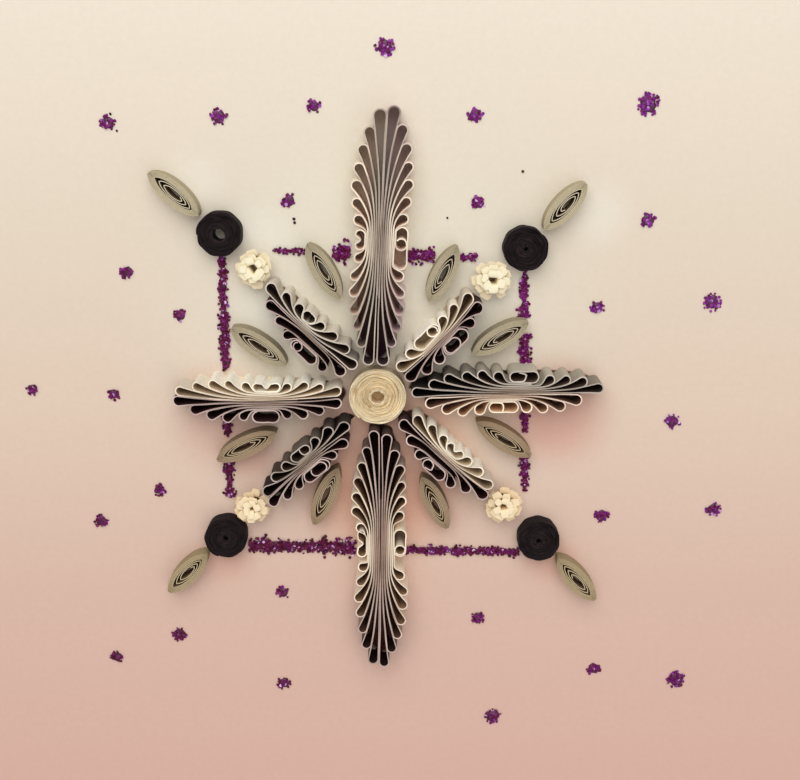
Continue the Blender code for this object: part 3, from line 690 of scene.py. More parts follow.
# %% The path of one comb-quilled strip
class CombStrip:
    """Half a petal. u runs along the petal from the waist and v away from its seam."""

    def __init__(self, half, petal, rough):
        self.petal = petal
        self.half = half
        self.rough = rough
        self.middle = half.room / 2
        self.waist = (half.inner_loops - 1) * petal.pitch + self.middle
        self.first = 1 if half.outer_loops >= half.inner_loops else -1
        self.count = {1: half.outer_loops, -1: half.inner_loops}
        self.size = {1: half.outer, -1: half.inner}
        self.step = {1: half.step, -1: 1.0}
        self.fans = {1: [], -1: []}
        self.longest = max(self.count.values()) * petal.pitch + self.middle
        self.closed = max(0.5, self.middle - 2.4 * petal.radius)
        growth = (self.longest / self.closed) ** (1.0 / STATIONS)
        self.stations = [self.closed * growth**i for i in range(STATIONS + 1)]
        self.rows = [SEAM_GAP / 2]
        for _ in range(sum(self.count.values()) + 4):
            self.rows.append(self.rows[-1] + PASS_PITCH * rough.uniform(0.86, 1.14))

    def wall(self, u, side, number, loops):
        """v of one pass: the first loops on its side push it out, and a loop's two walls part."""
        reach = max(0.0, u - self.closed)
        spread = sum(amount * reach**power for amount, power in self.fans[side][:loops])
        last_closed_pass, gap = self.half.channel
        channel = gap if number > last_closed_pass else 0.0
        starts_loop = (number - (side != self.first)) % 2 == 0
        parting = (-0.5 if starts_loop else 0.5) * LOOP_GAP * min(1.0, u / 4.0)
        return self.rows[number] + channel + spread + parting

    def slope(self, u, side, number, loops):
        step = 0.02
        rise = self.wall(u + step, side, number, loops) - self.wall(u - step, side, number, loops)
        return rise / (2 * step)

    def side_points(self, end, side, number, loops):
        inside = [u for u in self.stations if u < end - 0.04]
        return [(side * u, self.wall(u, side, number, loops), 0.0, side) for u in inside]

    def loop(self, side, index, number):
        """A loop: out along its inner wall, round its head and back along its outer wall."""
        tip = self.middle + (self.count[side] - 1) * self.petal.pitch
        reach = tip - index * self.petal.pitch * self.step[side]
        radius = self.size[side] * (self.petal.radius if index else self.petal.tip_radius)
        if index:
            reach += self.rough.uniform(-0.14, 0.14)
            radius *= self.rough.uniform(0.93, 1.06)
        lean = math.atan(self.slope(reach, side, number, index))
        start_u = reach + radius * math.sin(lean)
        start_v = self.wall(start_u, side, number, index)
        centre = Vector((start_u - radius * math.sin(lean), start_v + radius * math.cos(lean)))
        power = max(FAN_POWER, (reach - self.closed) / self.petal.taper)
        turn = lean + 0.3
        for _ in range(8):
            end = centre + radius * Vector((-math.sin(turn), math.cos(turn)))
            opened = end.y - self.wall(end.x, side, number + 1, index)
            rise = self.slope(end.x, side, number, index) + power * opened / (end.x - self.closed)
            turn = min(math.atan(rise), lean + 0.75)
        end = centre + radius * Vector((-math.sin(turn), math.cos(turn)))
        opened = end.y - self.wall(end.x, side, number + 1, index)
        outgoing = self.side_points(start_u, side, number, index)
        self.fans[side].append((opened / (end.x - self.closed) ** power, power))
        returning = self.side_points(end.x, side, number + 1, index + 1)
        head = arc(centre, radius, math.degrees(lean) - 90, math.degrees(turn) + 90)
        return outgoing + [(side * u, v, 1.0, side) for u, v in head] + returning[::-1]

    def hidden_turn(self, side, number):
        """Where one side has no loop left, the strip turns back inside the waist."""
        turn = 0.5 * self.closed
        return [(side * turn, self.wall(turn, side, row, None), 0.0, side) for row in (number, number + 1)]

    def middle_piece(self, side, number):
        """The outline of the middle piece, with its floor on the last wall."""
        middle = self.half.middle
        base = self.wall(0.0, side, number, 0)
        points = []
        for x, y in middle_outline(middle):
            u = side * x + middle.offset
            heading = 1 if u > 0 else -1
            lift = min(0.35, self.wall(abs(u), heading, number, None) - base)
            points.append((u, base + y + lift * max(0.0, 1.0 - y / middle.radius), 1.0, side))
        return points

    def path(self):
        """All points of the strip as (u, v, loose, side), from the stub in the seam to the middle."""
        stub = 0.45 * self.waist
        points = [(-self.first * stub, self.wall(stub, -self.first, 0, 0), 0.0, self.first)]
        side, number = self.first, 0
        taken = {1: 0, -1: 0}
        while taken != self.count:
            if taken[side] < self.count[side]:
                points += self.loop(side, taken[side], number)
                taken[side] += 1
            else:
                points += self.hidden_turn(side, number)
            number += 1
            side = -side
        return points + self.middle_piece(side, number)


print("a comb strip takes", HEAD_STEPS, "steps round each head")

# %% [markdown]
# ## Laying the petals out
# Each petal points along its bearing from the centre coil. Its two halves lie back to back at the
# seam, the second mirrored. A hand-wound strip wavers a little, so its points are nudged by a soft
# noise that moves neighbouring walls together, and its top edge rises and falls slightly.

# %% Petals
STRIP_THICKNESS = 0.21 * MM
STRIP_WAVES = 0.22 * MM
HAND_WAVER = 0.09 * MM
WAVER_LENGTH = 5 * MM

# Without a seed, the noise that moves the walls would be another one in each run
noise.seed_set(1)


def soften(values):
    """Spreads the heads' looseness a few points into the walls beside them."""
    for _ in range(4):
        padded = [values[0]] + list(values) + [values[-1]]
        values = [(a + 2 * b + c) / 4 for a, b, c in zip(padded, padded[1:], padded[2:])]
    return values


def half_length(half, petal):
    """How far apart the middles of a half petal's two tips are."""
    return half.room + (half.inner_loops + half.outer_loops - 2) * petal.pitch


def lay_half_petal(petal, half, mirrored, seed):
    """The strip's points on the card, with how loose and inward each is, its place on the tone ramp, paler
    outwards partly by dye and partly as painted light, and its foot's splay.
    """
    strip = CombStrip(half, petal, random.Random(seed))
    along, across = direction(petal.bearing), direction(petal.bearing + 90)
    origin = (CENTRE_RADIUS + petal.gap + SOLID_TIP_RADIUS) * along + petal.shift * across
    petal_length = max(other.start + half_length(other, petal) for other in petal.halves.values())
    points, loose, inside, tints, splays = [], [], [], [], []
    for u, v, free, end in strip.path():
        s = half.start + strip.waist + u
        bow = petal.bow * (1.0 - (2.0 * s / petal_length - 1.0) ** 2)
        outward = -v if mirrored else v
        place = (origin + s * along + (outward + bow) * across) * MM
        nudge = noise.noise_vector(Vector((place.x / WAVER_LENGTH, place.y / WAVER_LENGTH, seed)))
        place += Vector((nudge.x, nudge.y)) * HAND_WAVER
        points.append((place.x, place.y))
        opened = (abs(u) - strip.closed) / (0.6 * strip.longest)
        loose.append(max(free, min(0.75, opened)))
        inside.append(-end if mirrored else end)
        # The outer loops are made paler: partly their dye, partly painted light, as the loops near the coil
        # stand in more shade
        tints.append(half.tint * max(0.0, u) / strip.longest)
        splays.append(half.splay * outward * across * MM)
    dye_places = [share + tint for share, tint in zip(shares_along(points), tints)]
    return points, soften(loose), dye_places, inside, splays


for petal_number, (side, petal) in enumerate(petals.items()):
    for mirrored, (hand, half) in enumerate(petal.halves.items()):
        seed = 10 * petal_number + mirrored
        points, *values = lay_half_petal(petal, half, bool(mirrored), seed)
        strip = make_strip("petal_strip", points, CARD_TOP, PETAL_TOP, strip_walls[half.dye],
                           strip_edges[half.dye], STRIP_THICKNESS, STRIP_WAVES, seed, *values)
        finish_piece(strip, f"{side}_{hand}_looped_strip", half.slot, f"{side}_petal_{hand}")
    print(side, "petal:", len(strip.data.polygons), "faces in its last half")

# %% [markdown]
# ## The card inside the loops
# Light that falls into a loop goes to and fro between its dyed walls, and little of it comes back from the
# card. What comes back has the strip's tone. So the card is painted with that shade under each half petal,
# dark where little light reaches it and in the strip's tone, from the coil's side to the outer tip. These
# painted tones fill half of a flattened oval, with its straight side on the seam, so that they follow the
# petal's outline and don't show beside it.

# %% Tones under the petals
def paint_shade_under(colour_below, petal, half, mirrored):
    """Paints a half petal's shade and tone on the card, as painted shade, in the half of an oval that lies
    under that half.
    """
    along, across = direction(petal.bearing), direction(petal.bearing + 90)
    length = half_length(half, petal)
    fewest = min(half.inner_loops, half.outer_loops)
    width = SEAM_GAP / 2 + 2 * fewest * PASS_PITCH + 1.7 * half.middle.radius
    start = CENTRE_RADIUS + petal.gap + SOLID_TIP_RADIUS + half.start - 0.3
    middle = ((start + length / 2) * along + (petal.shift + petal.bow * 0.6) * across) * MM
    oval = add_node(card_tree, "ShaderNodeMapping", {
        "Vector": card_place,
        "Location": (middle.x, middle.y, CARD_TOP),
        "Rotation": (0.0, 0.0, math.radians(petal.bearing)),
        "Scale": ((length / 2 + 1.4) * MM, (-width if mirrored else width) * MM, 1.0),
    }, vector_type="TEXTURE")
    axes = axes_of(card_tree, oval.outputs["Vector"])
    x, y = axes["X"], axes["Y"]
    x_squared = calculate(card_tree, "MULTIPLY", x, x)
    x_flattened = calculate(card_tree, "MULTIPLY", x_squared, x_squared)
    distance = calculate(card_tree, "MULTIPLY_ADD", y, y, x_flattened)
    within = map_range(card_tree, distance, 1.0, 0.86, kind="SMOOTHSTEP")
    this_half = calculate(card_tree, "GREATER_THAN", y, 0.0)
    share = calculate(card_tree, "MULTIPLY", within, this_half)
    outwards = calculate(card_tree, "MULTIPLY_ADD", x, 0.5, 0.5)
    tones = colour_ramp(card_tree, outwards, dye_table[half.dye].floor)
    return mix_colours(card_tree, share, colour_below, tones)


for petal in petals.values():
    for mirrored, half in enumerate(petal.halves.values()):
        card_colour = paint_shade_under(card_colour, petal, half, bool(mirrored))
tint_with(card_tree, card_fibres, card_colour, card_shader, 0.02)
print("card material has", len(card_tree.nodes), "nodes")

# %% [markdown]
# ## Rolled coils
# A tight coil is one long strip rolled on itself. A spiral of points gives it its real turns. The turns are
# pushed up or down by hair's breadths, so the top shows fine rings like a record. The centre coil is ivory,
# darker in its inner turns, dished, with a ring standing up round its eye. The dark coils aren't quite
# round: each has its own eye, and flat places at its rim.

# %% Coil papers
ivory_wall = paper("ivory_coil_wall", [(0.0, (0.74, 0.58, 0.38)), (1.0, (0.80, 0.68, 0.46))], 0.08)
ivory_tones = [(0.0, (0.86, 0.75, 0.52)), (0.06, (0.74, 0.58, 0.34)), (0.5, (0.80, 0.65, 0.40)),
               (1.0, (0.90, 0.79, 0.56))]
ivory_edge = cut_edge("ivory_coil_edge", ivory_tones[0][1], ivory_tones, 0.7)
black_wall = paper("black_coil_wall", [(0.0, (0.005, 0.0035, 0.004)), (1.0, (0.008, 0.005, 0.006))], 0.2)
black_tones = [(0.0, (0.022, 0.012, 0.013)), (0.3, (0.009, 0.004, 0.005)), (1.0, (0.012, 0.006, 0.007))]
black_edge = cut_edge("black_coil_edge", black_tones[0][1], black_tones, 1.5)
print("coil papers ready")


# %% Centre coil
CENTRE_EYE = 1.1 * MM
CENTRE_REACH = 4.93 * MM
CENTRE_PITCH = 0.15 * MM


def spiral(centre, eye, radius, pitch, steps, start_angle, flatness=0.0, sides=9):
    """Points of a spiral from its eye outwards, slightly faceted if the roll was held by fingers."""
    turns = (radius - eye) / pitch
    points = []
    for step in range(int(turns * steps) + 1):
        angle = math.radians(start_angle) + 2 * math.pi * step / steps
        reach = eye + pitch * step / steps
        reach *= 1.0 - flatness * (0.5 + 0.5 * math.cos(sides * angle))
        points.append((centre[0] + reach * math.cos(angle), centre[1] + reach * math.sin(angle)))
    return points


def lift_top(piece, centre, foot, height_at):
    """Moves the top edge of a rolled strip to height_at(radius, angle), and its foot stays."""
    tallest = max(vertex.co.z for vertex in piece.data.vertices)
    for vertex in piece.data.vertices:
        if vertex.co.z > (foot + tallest) / 2:
            offset = Vector((vertex.co.x - centre[0], vertex.co.y - centre[1]))
            vertex.co.z += height_at(offset.length, math.atan2(offset.y, offset.x))


def ring_ridge(radius, angle, pitch, difference, swing):
    """How far a turn stands up or down: each has its own height, which drifts round the coil."""
    turn = round((radius - angle / (2 * math.pi) * pitch) / pitch)
    return noise.noise(Vector((turn * difference, math.cos(angle) * swing, math.sin(angle) * swing)))


def centre_height(radius, angle):
    """Dished towards the rim, with a collar round the eye and fine ridges."""
    share = (radius - CENTRE_EYE) / (3.9 * MM)
    dish = -0.30 * MM * math.sin(math.pi * min(1.0, max(0.0, share * 1.15)))
    collar = 0.0 if share > 0.16 else 0.14 * MM
    return dish + collar + 0.34 * MM * ring_ridge(radius, angle, CENTRE_PITCH, 1.7, 2.2) - 0.16 * MM


centre_points = spiral((0.0, 0.0), CENTRE_EYE, CENTRE_REACH, CENTRE_PITCH, 72, 40.0)
centre_roll = make_strip("centre_roll", centre_points, CARD_TOP, COIL_TOP, (ivory_wall, ivory_wall),
                         ivory_edge, 0.125 * MM)
lift_top(centre_roll, (0.0, 0.0), CARD_TOP, centre_height)
finish_piece(centre_roll, "centre_coil_roll", "ivory_paper", "centre_coil")
print("centre coil:", round((CENTRE_REACH - CENTRE_EYE) / CENTRE_PITCH, 1), "turns")


# %% Dark coils
DARK_REACH = 3.80 * MM
DARK_PITCH = 0.16 * MM


def node_middle(node):
    """The middle of a solid's box, seen from above."""
    low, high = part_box(node)
    return (low[0] + high[0]) / 2, (low[1] + high[1]) / 2


def dark_height(radius, angle):
    """Finely ridged, and a little lower towards the rim."""
    drop = 0.15 * MM * (radius / DARK_REACH) ** 4
    return 0.34 * MM * ring_ridge(radius, angle, DARK_PITCH, 2.3, 1.8) - drop - 0.2 * MM


# How wide each coil's eye is in mm, and how many flat places the fingers left round its rim
dark_coils = {"northwest": (1.0, 8), "northeast": (0.3, 9), "southwest": (0.4, 7), "southeast": (0.4, 10)}
for number, (corner, (eye, flats)) in enumerate(dark_coils.items()):
    middle = node_middle(f"{corner}_dark_coil")
    roll_points = spiral(middle, eye * MM, DARK_REACH, DARK_PITCH, 54, 80.0 * number, 0.03, flats)
    roll = make_strip("dark_roll", roll_points, CARD_TOP, COIL_TOP, (black_wall, black_wall),
                      black_edge, 0.135 * MM)
    lift_top(roll, middle, CARD_TOP, dark_height)
    finish_piece(roll, f"{corner}_dark_roll", "dark_coil_paper", f"{corner}_dark_coil")
print("dark coils:", len(dark_coils))

# %% [markdown]
# ## Eye coils
# A loose coil pinched at both ends is the eye, or marquise. Its first turns lie pressed together and the
# inner ones spring open towards one side. Each turn is drawn as the same pinched eye, smaller by the paper
# and its gap, and the whole is again one strip on edge. The coils near the petals stand in more shade, and
# those low on the card in rosier light, so the one sage paper comes in four versions with painted light and
# shade.

# %% Eye coil papers
# Each sage paper's edge, where the turns are packed and where they are loose
# sage is the paper in open light; the other three are the same paper darkened as painted shade, warmer and
# rosier low on the card
sage_tones = {
    "sage": ((0.50, 0.44, 0.29), (0.64, 0.58, 0.42)),
    "shaded_sage": ((0.43, 0.375, 0.25), (0.58, 0.51, 0.37)),
    "warm_shaded_sage": ((0.41, 0.325, 0.19), (0.60, 0.50, 0.32)),
    "rosy_shaded_sage": ((0.35, 0.255, 0.16), (0.55, 0.44, 0.28)),
}
INNER_SAGE = (0.24, 0.16, 0.085)
sage_papers = {}
for name, (packed, loose) in sage_tones.items():
    outer, middle = (tuple(share * part for part in packed) for share in (0.85, 0.7))
    wall = paper(f"{name}_coil_wall", [(0.0, outer), (0.68, middle), (0.84, INNER_SAGE)], 0.08)
    edge = paper(f"{name}_coil_edge", [(0.0, packed), (0.75, packed), (0.86, loose), (1.0, loose)], 0.1)
    sage_papers[name] = (wall, edge)
print("sage papers:", len(sage_papers))

# %% Eye coils
EYE_WIDTH = 4.0 * MM
EYE_STEPS = 40
EYE_MARGIN = 0.08 * MM
PACKED_TURNS, LOOSE_TURNS = 6.0, 2.6
PACKED_PITCH = 0.14 * MM


def eye_curve(turn, half_length, half_width):
    """A point of the pinched eye; turn counts round it from one of its ends."""
    part = turn % 1.0
    side = 1.0 if part < 0.5 else -1.0
    share = 2.0 * (part % 0.5)
    swing = share - 0.06 * math.sin(2 * math.pi * share)
    return side * half_length * (1.0 - 2.0 * swing), side * half_width * math.sin(math.pi * share) ** 0.9


def eye_points(centre, heading, length, lean):
    """A pinched coil: pressed turns outside, and loose ones that leave a gap at one end."""
    half_length, half_width = length / 2 - EYE_MARGIN, EYE_WIDTH / 2 - EYE_MARGIN
    end_share = math.hypot(1.0, half_length / (2.0 * half_width))
    along, across = direction(heading), direction(heading + 90)
    points = []
    for step in range(int((PACKED_TURNS + LOOSE_TURNS) * EYE_STEPS) + 1):
        turn = step / EYE_STEPS
        packed, loose = min(turn, PACKED_TURNS) * PACKED_PITCH, max(0.0, turn - PACKED_TURNS)
        length_left = half_length - end_share * packed - 0.95 * MM * loose
        width_left = half_width - packed - 0.24 * MM * loose
        u, v = eye_curve(turn + 0.02, length_left, width_left)
        place = Vector(centre) + (u + lean * 0.45 * MM * loose) * along + v * across
        points.append((place.x, place.y))
    return points


# For each coil: its sage paper with its painted light and shade, its heading, its length in mm and how far
# its inner turns lean to that end
eye_coils = {
    "north_west": ("shaded_sage", 120.0, 11.2, 0.05), "north_east": ("shaded_sage", 62.0, 11.0, -0.15),
    "east_north": ("shaded_sage", 30.0, 11.4, 0.3), "east_south": ("rosy_shaded_sage", -33.0, 12.0, 0.1),
    "south_east": ("rosy_shaded_sage", -65.0, 11.2, 0.4), "south_west": ("rosy_shaded_sage", -113.0, 12.0, -0.4),
    "west_south": ("rosy_shaded_sage", -155.0, 12.2, 0.25), "west_north": ("shaded_sage", 145.0, 11.8, -0.25),
    "northwest_outer": ("sage", 138.0, 11.1, -0.2), "northeast_outer": ("sage", 48.0, 10.6, 0.3),
    "southwest_outer": ("warm_shaded_sage", -135.0, 10.8, -0.3),
    "southeast_outer": ("warm_shaded_sage", -49.0, 11.2, 0.2),
}
for number, (place_name, (sage, heading, length, lean)) in enumerate(eye_coils.items()):
    node = f"{place_name}_eye_coil"
    wall, edge = sage_papers[sage]
    points = eye_points(node_middle(node), heading, length * MM, lean)
    coil = make_strip("eye_roll", points, CARD_TOP, COIL_TOP, (wall, wall), edge, 0.13 * MM,
                      0.05 * MM, number)
    finish_piece(coil, f"{place_name}_pinched_roll", "sage_paper", node)
print("eye coils:", len(eye_coils))

# %% [markdown]
# ## Fringed flowers
# A fringed flower is a strip cut into a fringe, rolled up and spread with a finger. Each flap is a
# short piece of paper that rises and folds outwards. A flap starts as a drawn line, is extruded
# upwards and spun over its fold. It is then copied in rings round the roll's middle, and each copy
# is turned, tipped and sized a little differently, because fingers never spread two flaps alike.
# The paper is painted deeper in tone down in the flower, as painted shade among the flaps, and the two
# lower flowers are a little peachier.

# %% Flower papers
FLOWER_TOP = PAPER_FOOT + 4.2 * MM


def flower_paper(name, shaded_foot_tone, middle_tone, top_tone):
    material, tree, shader = new_material(name, 0.8)
    fibres = fibre_noise(tree, 2200.0, FIBRE_DEPTH, shader, 0.3)
    height = map_range(tree, axes_of(tree, object_place(tree))["Z"], CARD_TOP, FLOWER_TOP)
    # Darker towards the foot, as painted shade down among the flaps
    tones = colour_ramp(tree, height, [(0.0, shaded_foot_tone), (0.55, middle_tone), (0.85, top_tone)])
    tint_with(tree, fibres, tones, shader, 0.04)
    return material


cream_flowers = flower_paper("cream_flower_paper", (0.62, 0.45, 0.28), (0.86, 0.75, 0.52),
                             (0.93, 0.87, 0.64))
peach_flowers = flower_paper("peach_flower_paper", (0.55, 0.36, 0.20), (0.84, 0.66, 0.42),
                             (0.94, 0.81, 0.56))
print("flower papers ready")


# %% One flap of the fringe
FLAP_FOLD = math.radians(84)


def make_flap(width, rise, fold_radius, reach):
    """A flap that stands on the origin, folds over towards +X and ends in a drooping tip."""
    flap = draw_line("flap", [(0.0, -width / 2), (0.0, 0.0), (0.0, width / 2)], 0.0)
    bpy.ops.object.mode_set(mode="EDIT")
    bpy.ops.mesh.select_all(action="SELECT")
    bpy.ops.mesh.extrude_region_move(TRANSFORM_OT_translate={"value": (0.0, 0.0, rise)})
    bpy.ops.mesh.spin(steps=5, angle=-FLAP_FOLD, center=(fold_radius, 0.0, rise), axis=(0.0, 1.0, 0.0))
    ahead = Vector((math.sin(FLAP_FOLD), 0.0, math.cos(FLAP_FOLD))) * reach / 2
    drooping = ahead - Vector((0.0, 0.0, 0.10 * MM))
    for step in (ahead, drooping):
        bpy.ops.mesh.extrude_region_move(TRANSFORM_OT_translate={"value": step})
    bpy.ops.transform.resize(value=(1.0, 0.72, 1.0))
    bpy.ops.object.mode_set(mode="OBJECT")
    return flap


# Rings from the outside in: flaps, root radius, width, rise, fold radius and reach
FLOWER_RINGS = (
    (9, 1.70 * MM, 1.75 * MM, 2.1 * MM, 0.50 * MM, 1.00 * MM),
    (8, 1.10 * MM, 1.60 * MM, 2.9 * MM, 0.50 * MM, 1.00 * MM),
    (6, 0.55 * MM, 1.35 * MM, 3.6 * MM, 0.40 * MM, 0.85 * MM),
)
flaps = [make_flap(width, rise, fold, reach) for _, _, width, rise, fold, reach in FLOWER_RINGS]
print("flap:", [[round(side * 1000, 2) for side in flap.dimensions] for flap in flaps])


# %% Flowers
def copy_of(thing, matrix):
    """A copy with its own mesh, put in place by a matrix."""
    mesh = thing.data.copy()
    mesh.transform(matrix)
    copy = bpy.data.objects.new(thing.name, mesh)
    bpy.context.collection.objects.link(copy)
    return copy


def join_all(pieces):
    select_only(*pieces)
    bpy.ops.object.join()
    return bpy.context.object


def make_flower(middle, seed, finish):
    """Rings of flaps round the middle, joined and given the paper's thickness."""
    rough = random.Random(seed)
    copies = []
    for (count, root, *_), flap in zip(FLOWER_RINGS, flaps):
        start = rough.uniform(0, 360)
        for number in range(count):
            bearing = start + 360.0 * number / count + rough.uniform(-7, 7)
            out = Matrix.Translation((root * rough.uniform(0.92, 1.06), 0.0, CARD_TOP))
            tip = Matrix.Rotation(math.radians(rough.uniform(-4, 7)), 4, "Y")
            twist = Matrix.Rotation(math.radians(rough.uniform(-16, 16)), 4, "Z")
            sides = (rough.uniform(0.85, 1.15), rough.uniform(0.85, 1.2), rough.uniform(0.93, 1.02))
            size = Matrix.Diagonal((*sides, 1.0))
            around = Matrix.Rotation(math.radians(bearing), 4, "Z")
            place = Matrix.Translation((middle[0], middle[1], 0.0))
            copies.append(copy_of(flap, place @ around @ out @ twist @ tip @ size))
    flower = join_all(copies)
    flower.data.materials.append(finish)
    wall = flower.modifiers.new("paper", "SOLIDIFY")
    wall.thickness = 0.13 * MM
    wall.offset = 0.0
    apply_modifiers(flower)
    bpy.ops.object.shade_smooth_by_angle(angle=math.radians(40))
    return flower


for number, corner in enumerate(("northwest", "northeast", "southwest", "southeast")):
    finish = cream_flowers if corner.startswith("north") else peach_flowers
    flower = make_flower(node_middle(f"{corner}_flower"), 40 + number, finish)
    highest = max(vertex.co.z for vertex in flower.data.vertices)
    finish_piece(flower, f"{corner}_fringed_flower", "white_paper", f"{corner}_flower")
    print(corner, "flower top in mm:", round(highest * 1000, 2))
for flap in flaps:
    bpy.data.objects.remove(flap)

# %% [markdown]
# ## Glitter glue
# Glitter glue is clear glue full of small six-sided foil flakes. A line is drawn by hand from a
# nozzle, so it swells and thins out, and each stretch has its own width at both ends. A low mound
# of dark violet glue carries the flakes. One flake is modelled and scattered over it at random
# tilts, so that some catch the light while others stay dark.

# %% Glitter finishes
flake_foil, flake_tree, flake_shader = new_material("violet_foil_flakes", 0.38, 0.3)
flake_shader.inputs["Metallic"].default_value = 0.2
flake_colour = colour_ramp(flake_tree, point_value(flake_tree, "tone"), [
    (0.0, (0.035, 0.002, 0.010)), (0.3, (0.135, 0.004, 0.048)), (0.55, (0.19, 0.008, 0.17)),
    (0.85, (0.28, 0.03, 0.40)), (1.0, (0.80, 0.55, 0.85))])
flake_tree.links.new(flake_colour, flake_shader.inputs["Base Color"])

glue_gel, glue_tree, glue_shader = new_material("violet_glue", 0.3, 0.5)
glue_noise = fibre_noise(glue_tree, 1500.0, 0.06 * MM, glue_shader, 0.6)
glue_colour = colour_ramp(glue_tree, glue_noise, [
    (0.35, (0.035, 0.003, 0.018)), (0.65, (0.11, 0.010, 0.075))])
glue_tree.links.new(glue_colour, glue_shader.inputs["Base Color"])
print("glitter finishes ready")

# %% One flake
FLAKE_RADII = (0.20 * MM, 0.33 * MM)

bpy.ops.object.select_all(action="DESELECT")
bpy.ops.mesh.primitive_cylinder_add(vertices=6, radius=1.0 * MM, depth=0.16 * MM)
flake = bpy.context.object
flake.name = "flake"
flake.data.attributes.new("tone", "FLOAT", "POINT")
print("flake faces:", len(flake.data.polygons))


# %% Scattering flakes
def scatter(spots, seed):
    """Copies of the flake at (x, y, z, radius, tone) spots, each at its own tilt."""
    rough = random.Random(seed)
    copies = []
    for x, y, z, radius, tone in spots:
        turn = Matrix.Rotation(rough.uniform(0, math.pi), 4, "Z")
        tilt = Matrix.Rotation(math.radians(rough.uniform(-32, 32)), 4, "X")
        lean = Matrix.Rotation(math.radians(rough.uniform(-32, 32)), 4, "Y")
        size = Matrix.Scale(radius / MM, 4)
        copy = copy_of(flake, Matrix.Translation((x, y, z)) @ lean @ tilt @ turn @ size)
        for value in copy.data.attributes["tone"].data:
            value.value = tone
        copies.append(copy)
    flakes = join_all(copies)
    flakes.data.materials.append(flake_foil)
    return flakes


def flake_tone_at(rough, x, y, lighter=0.0):
    """Darker and redder flakes prevail low and left on the card, and brighter ones up and right."""
    warmth = (x + y) / (160 * MM)
    tone = rough.gauss(0.34 + 0.30 * warmth + lighter, 0.14)
    if rough.random() < 0.04:
        tone = rough.uniform(0.9, 1.0)
    return min(1.0, max(0.0, tone))


def glue_height(offset, half_width, height):
    """How high rounded glue stands at an offset from its middle."""
    return height * max(0.0, 1.0 - (offset / half_width) ** 2) ** 0.5


print("a flake's radius in mm:", [round(radius * 1000, 2) for radius in FLAKE_RADII])


# %% Glitter lines
GLITTER_HEIGHT = 0.45 * MM
GLITTER_TOP = PAPER_FOOT + GLITTER_HEIGHT


def line_ends(node):
    """The two ends of a glitter line's solid, read from its own points."""
    points = [vertex.co.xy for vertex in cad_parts[node].data.vertices]
    low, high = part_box(node)
    axis = 0 if high.x - low.x > high.y - low.y else 1
    first = [point for point in points if point[axis] < low[axis] + 0.45 * MM]
    last = [point for point in points if point[axis] > high[axis] - 0.45 * MM]
    return [sum(end, Vector((0.0, 0.0))) / len(end) for end in (first, last)]


# How wide each line is drawn in mm, at its left or lower end and at its right or upper end
line_widths = {
    "north_glitter_line_1": (0.6, 1.9), "north_glitter_line_2": (2.6, 3.4),
    "north_glitter_line_3": (1.3, 2.7), "north_glitter_line_4": (1.7, 2.2),
    "south_glitter_line_1": (2.0, 2.9), "south_glitter_line_2": (1.5, 1.4),
    "west_glitter_line_1": (1.4, 1.3), "west_glitter_line_2": (1.0, 1.5),
    "west_glitter_line_3": (1.1, 1.8),
    "east_glitter_line_1": (1.8, 1.0), "east_glitter_line_2": (1.4, 1.8),
    "east_glitter_line_3": (0.8, 1.9), "east_glitter_line_4": (0.9, 1.8),
}
FLAKES_PER_MM2 = 15


def line_width(node, share, length, seed):
    """The width of a hand-drawn line at a share of its length: it swells and thins out."""
    start, end = line_widths[node]
    swelling = 1.0 + 0.9 * noise.noise(Vector((share * length / (1.7 * MM), seed * 3.7, 0.0)))
    return (start + (end - start) * share) * MM * swelling


def glue_mound(node, start, end, seed):
    """A low ridge of glue on the card, from a grid whose rim sinks into the card."""
    length = (end - start).length
    heading = math.atan2(end.y - start.y, end.x - start.x)
    bpy.ops.object.select_all(action="DESELECT")
    columns = max(4, round(length / (0.3 * MM)))
    bpy.ops.mesh.primitive_grid_add(x_subdivisions=columns, y_subdivisions=8, size=1.0)
    mound = bpy.context.object
    mesh = mound.data
    for vertex in mesh.vertices:
        distance = (vertex.co.x + 0.5) * length
        half_width = 0.38 * line_width(node, distance / length, length, seed)
        taper = min(1.0, distance / (0.7 * MM), (length - distance) / (0.7 * MM))
        share = 2.0 * vertex.co.y
        bump = 0.75 + 0.5 * noise.noise(Vector((distance / (0.6 * MM), share * 1.5, seed)))
        height = 0.32 * MM * bump * max(0.0, taper) * (1.0 - share**2) - 0.04 * MM
        vertex.co = Vector((distance, share * half_width * (0.4 + 0.6 * max(0.0, taper)), height))
    mesh.transform(Matrix.Translation((start.x, start.y, CARD_TOP)) @ Matrix.Rotation(heading, 4, "Z"))
    mesh.materials.append(glue_gel)
    base = mound.modifiers.new("base", "SOLIDIFY")
    base.thickness = 0.05 * MM
    base.offset = -1.0
    apply_modifiers(mound)
    bpy.ops.object.shade_smooth()
    return mound


def line_flakes(node, start, end, seed):
    """Flakes of one line, most of them near its middle."""
    rough = random.Random(seed)
    length = (end - start).length
    along = (end - start) / length
    across = Vector((-along.y, along.x))
    highest = GLITTER_TOP - CARD_TOP - 0.15 * MM
    widest = max(line_widths[node]) * 1.3 * MM
    spots = []
    for _ in range(round(length * widest / MM**2 * FLAKES_PER_MM2)):
        distance = rough.uniform(-0.15 * MM, length + 0.15 * MM)
        width = line_width(node, distance / length, length, seed)
        if rough.random() > width / widest:
            continue
        half_width = width / 2
        offset = max(-1.2, min(1.2, rough.gauss(0.0, 0.52))) * half_width
        place = start + along * distance + across * offset
        level = glue_height(offset, 1.3 * half_width, 0.30 * MM)
        radius = rough.uniform(*FLAKE_RADII)
        z = CARD_TOP + min(0.07 * MM + level * rough.uniform(0.7, 1.25), highest)
        spots.append((place.x, place.y, z, radius, flake_tone_at(rough, place.x, place.y)))
    return spots


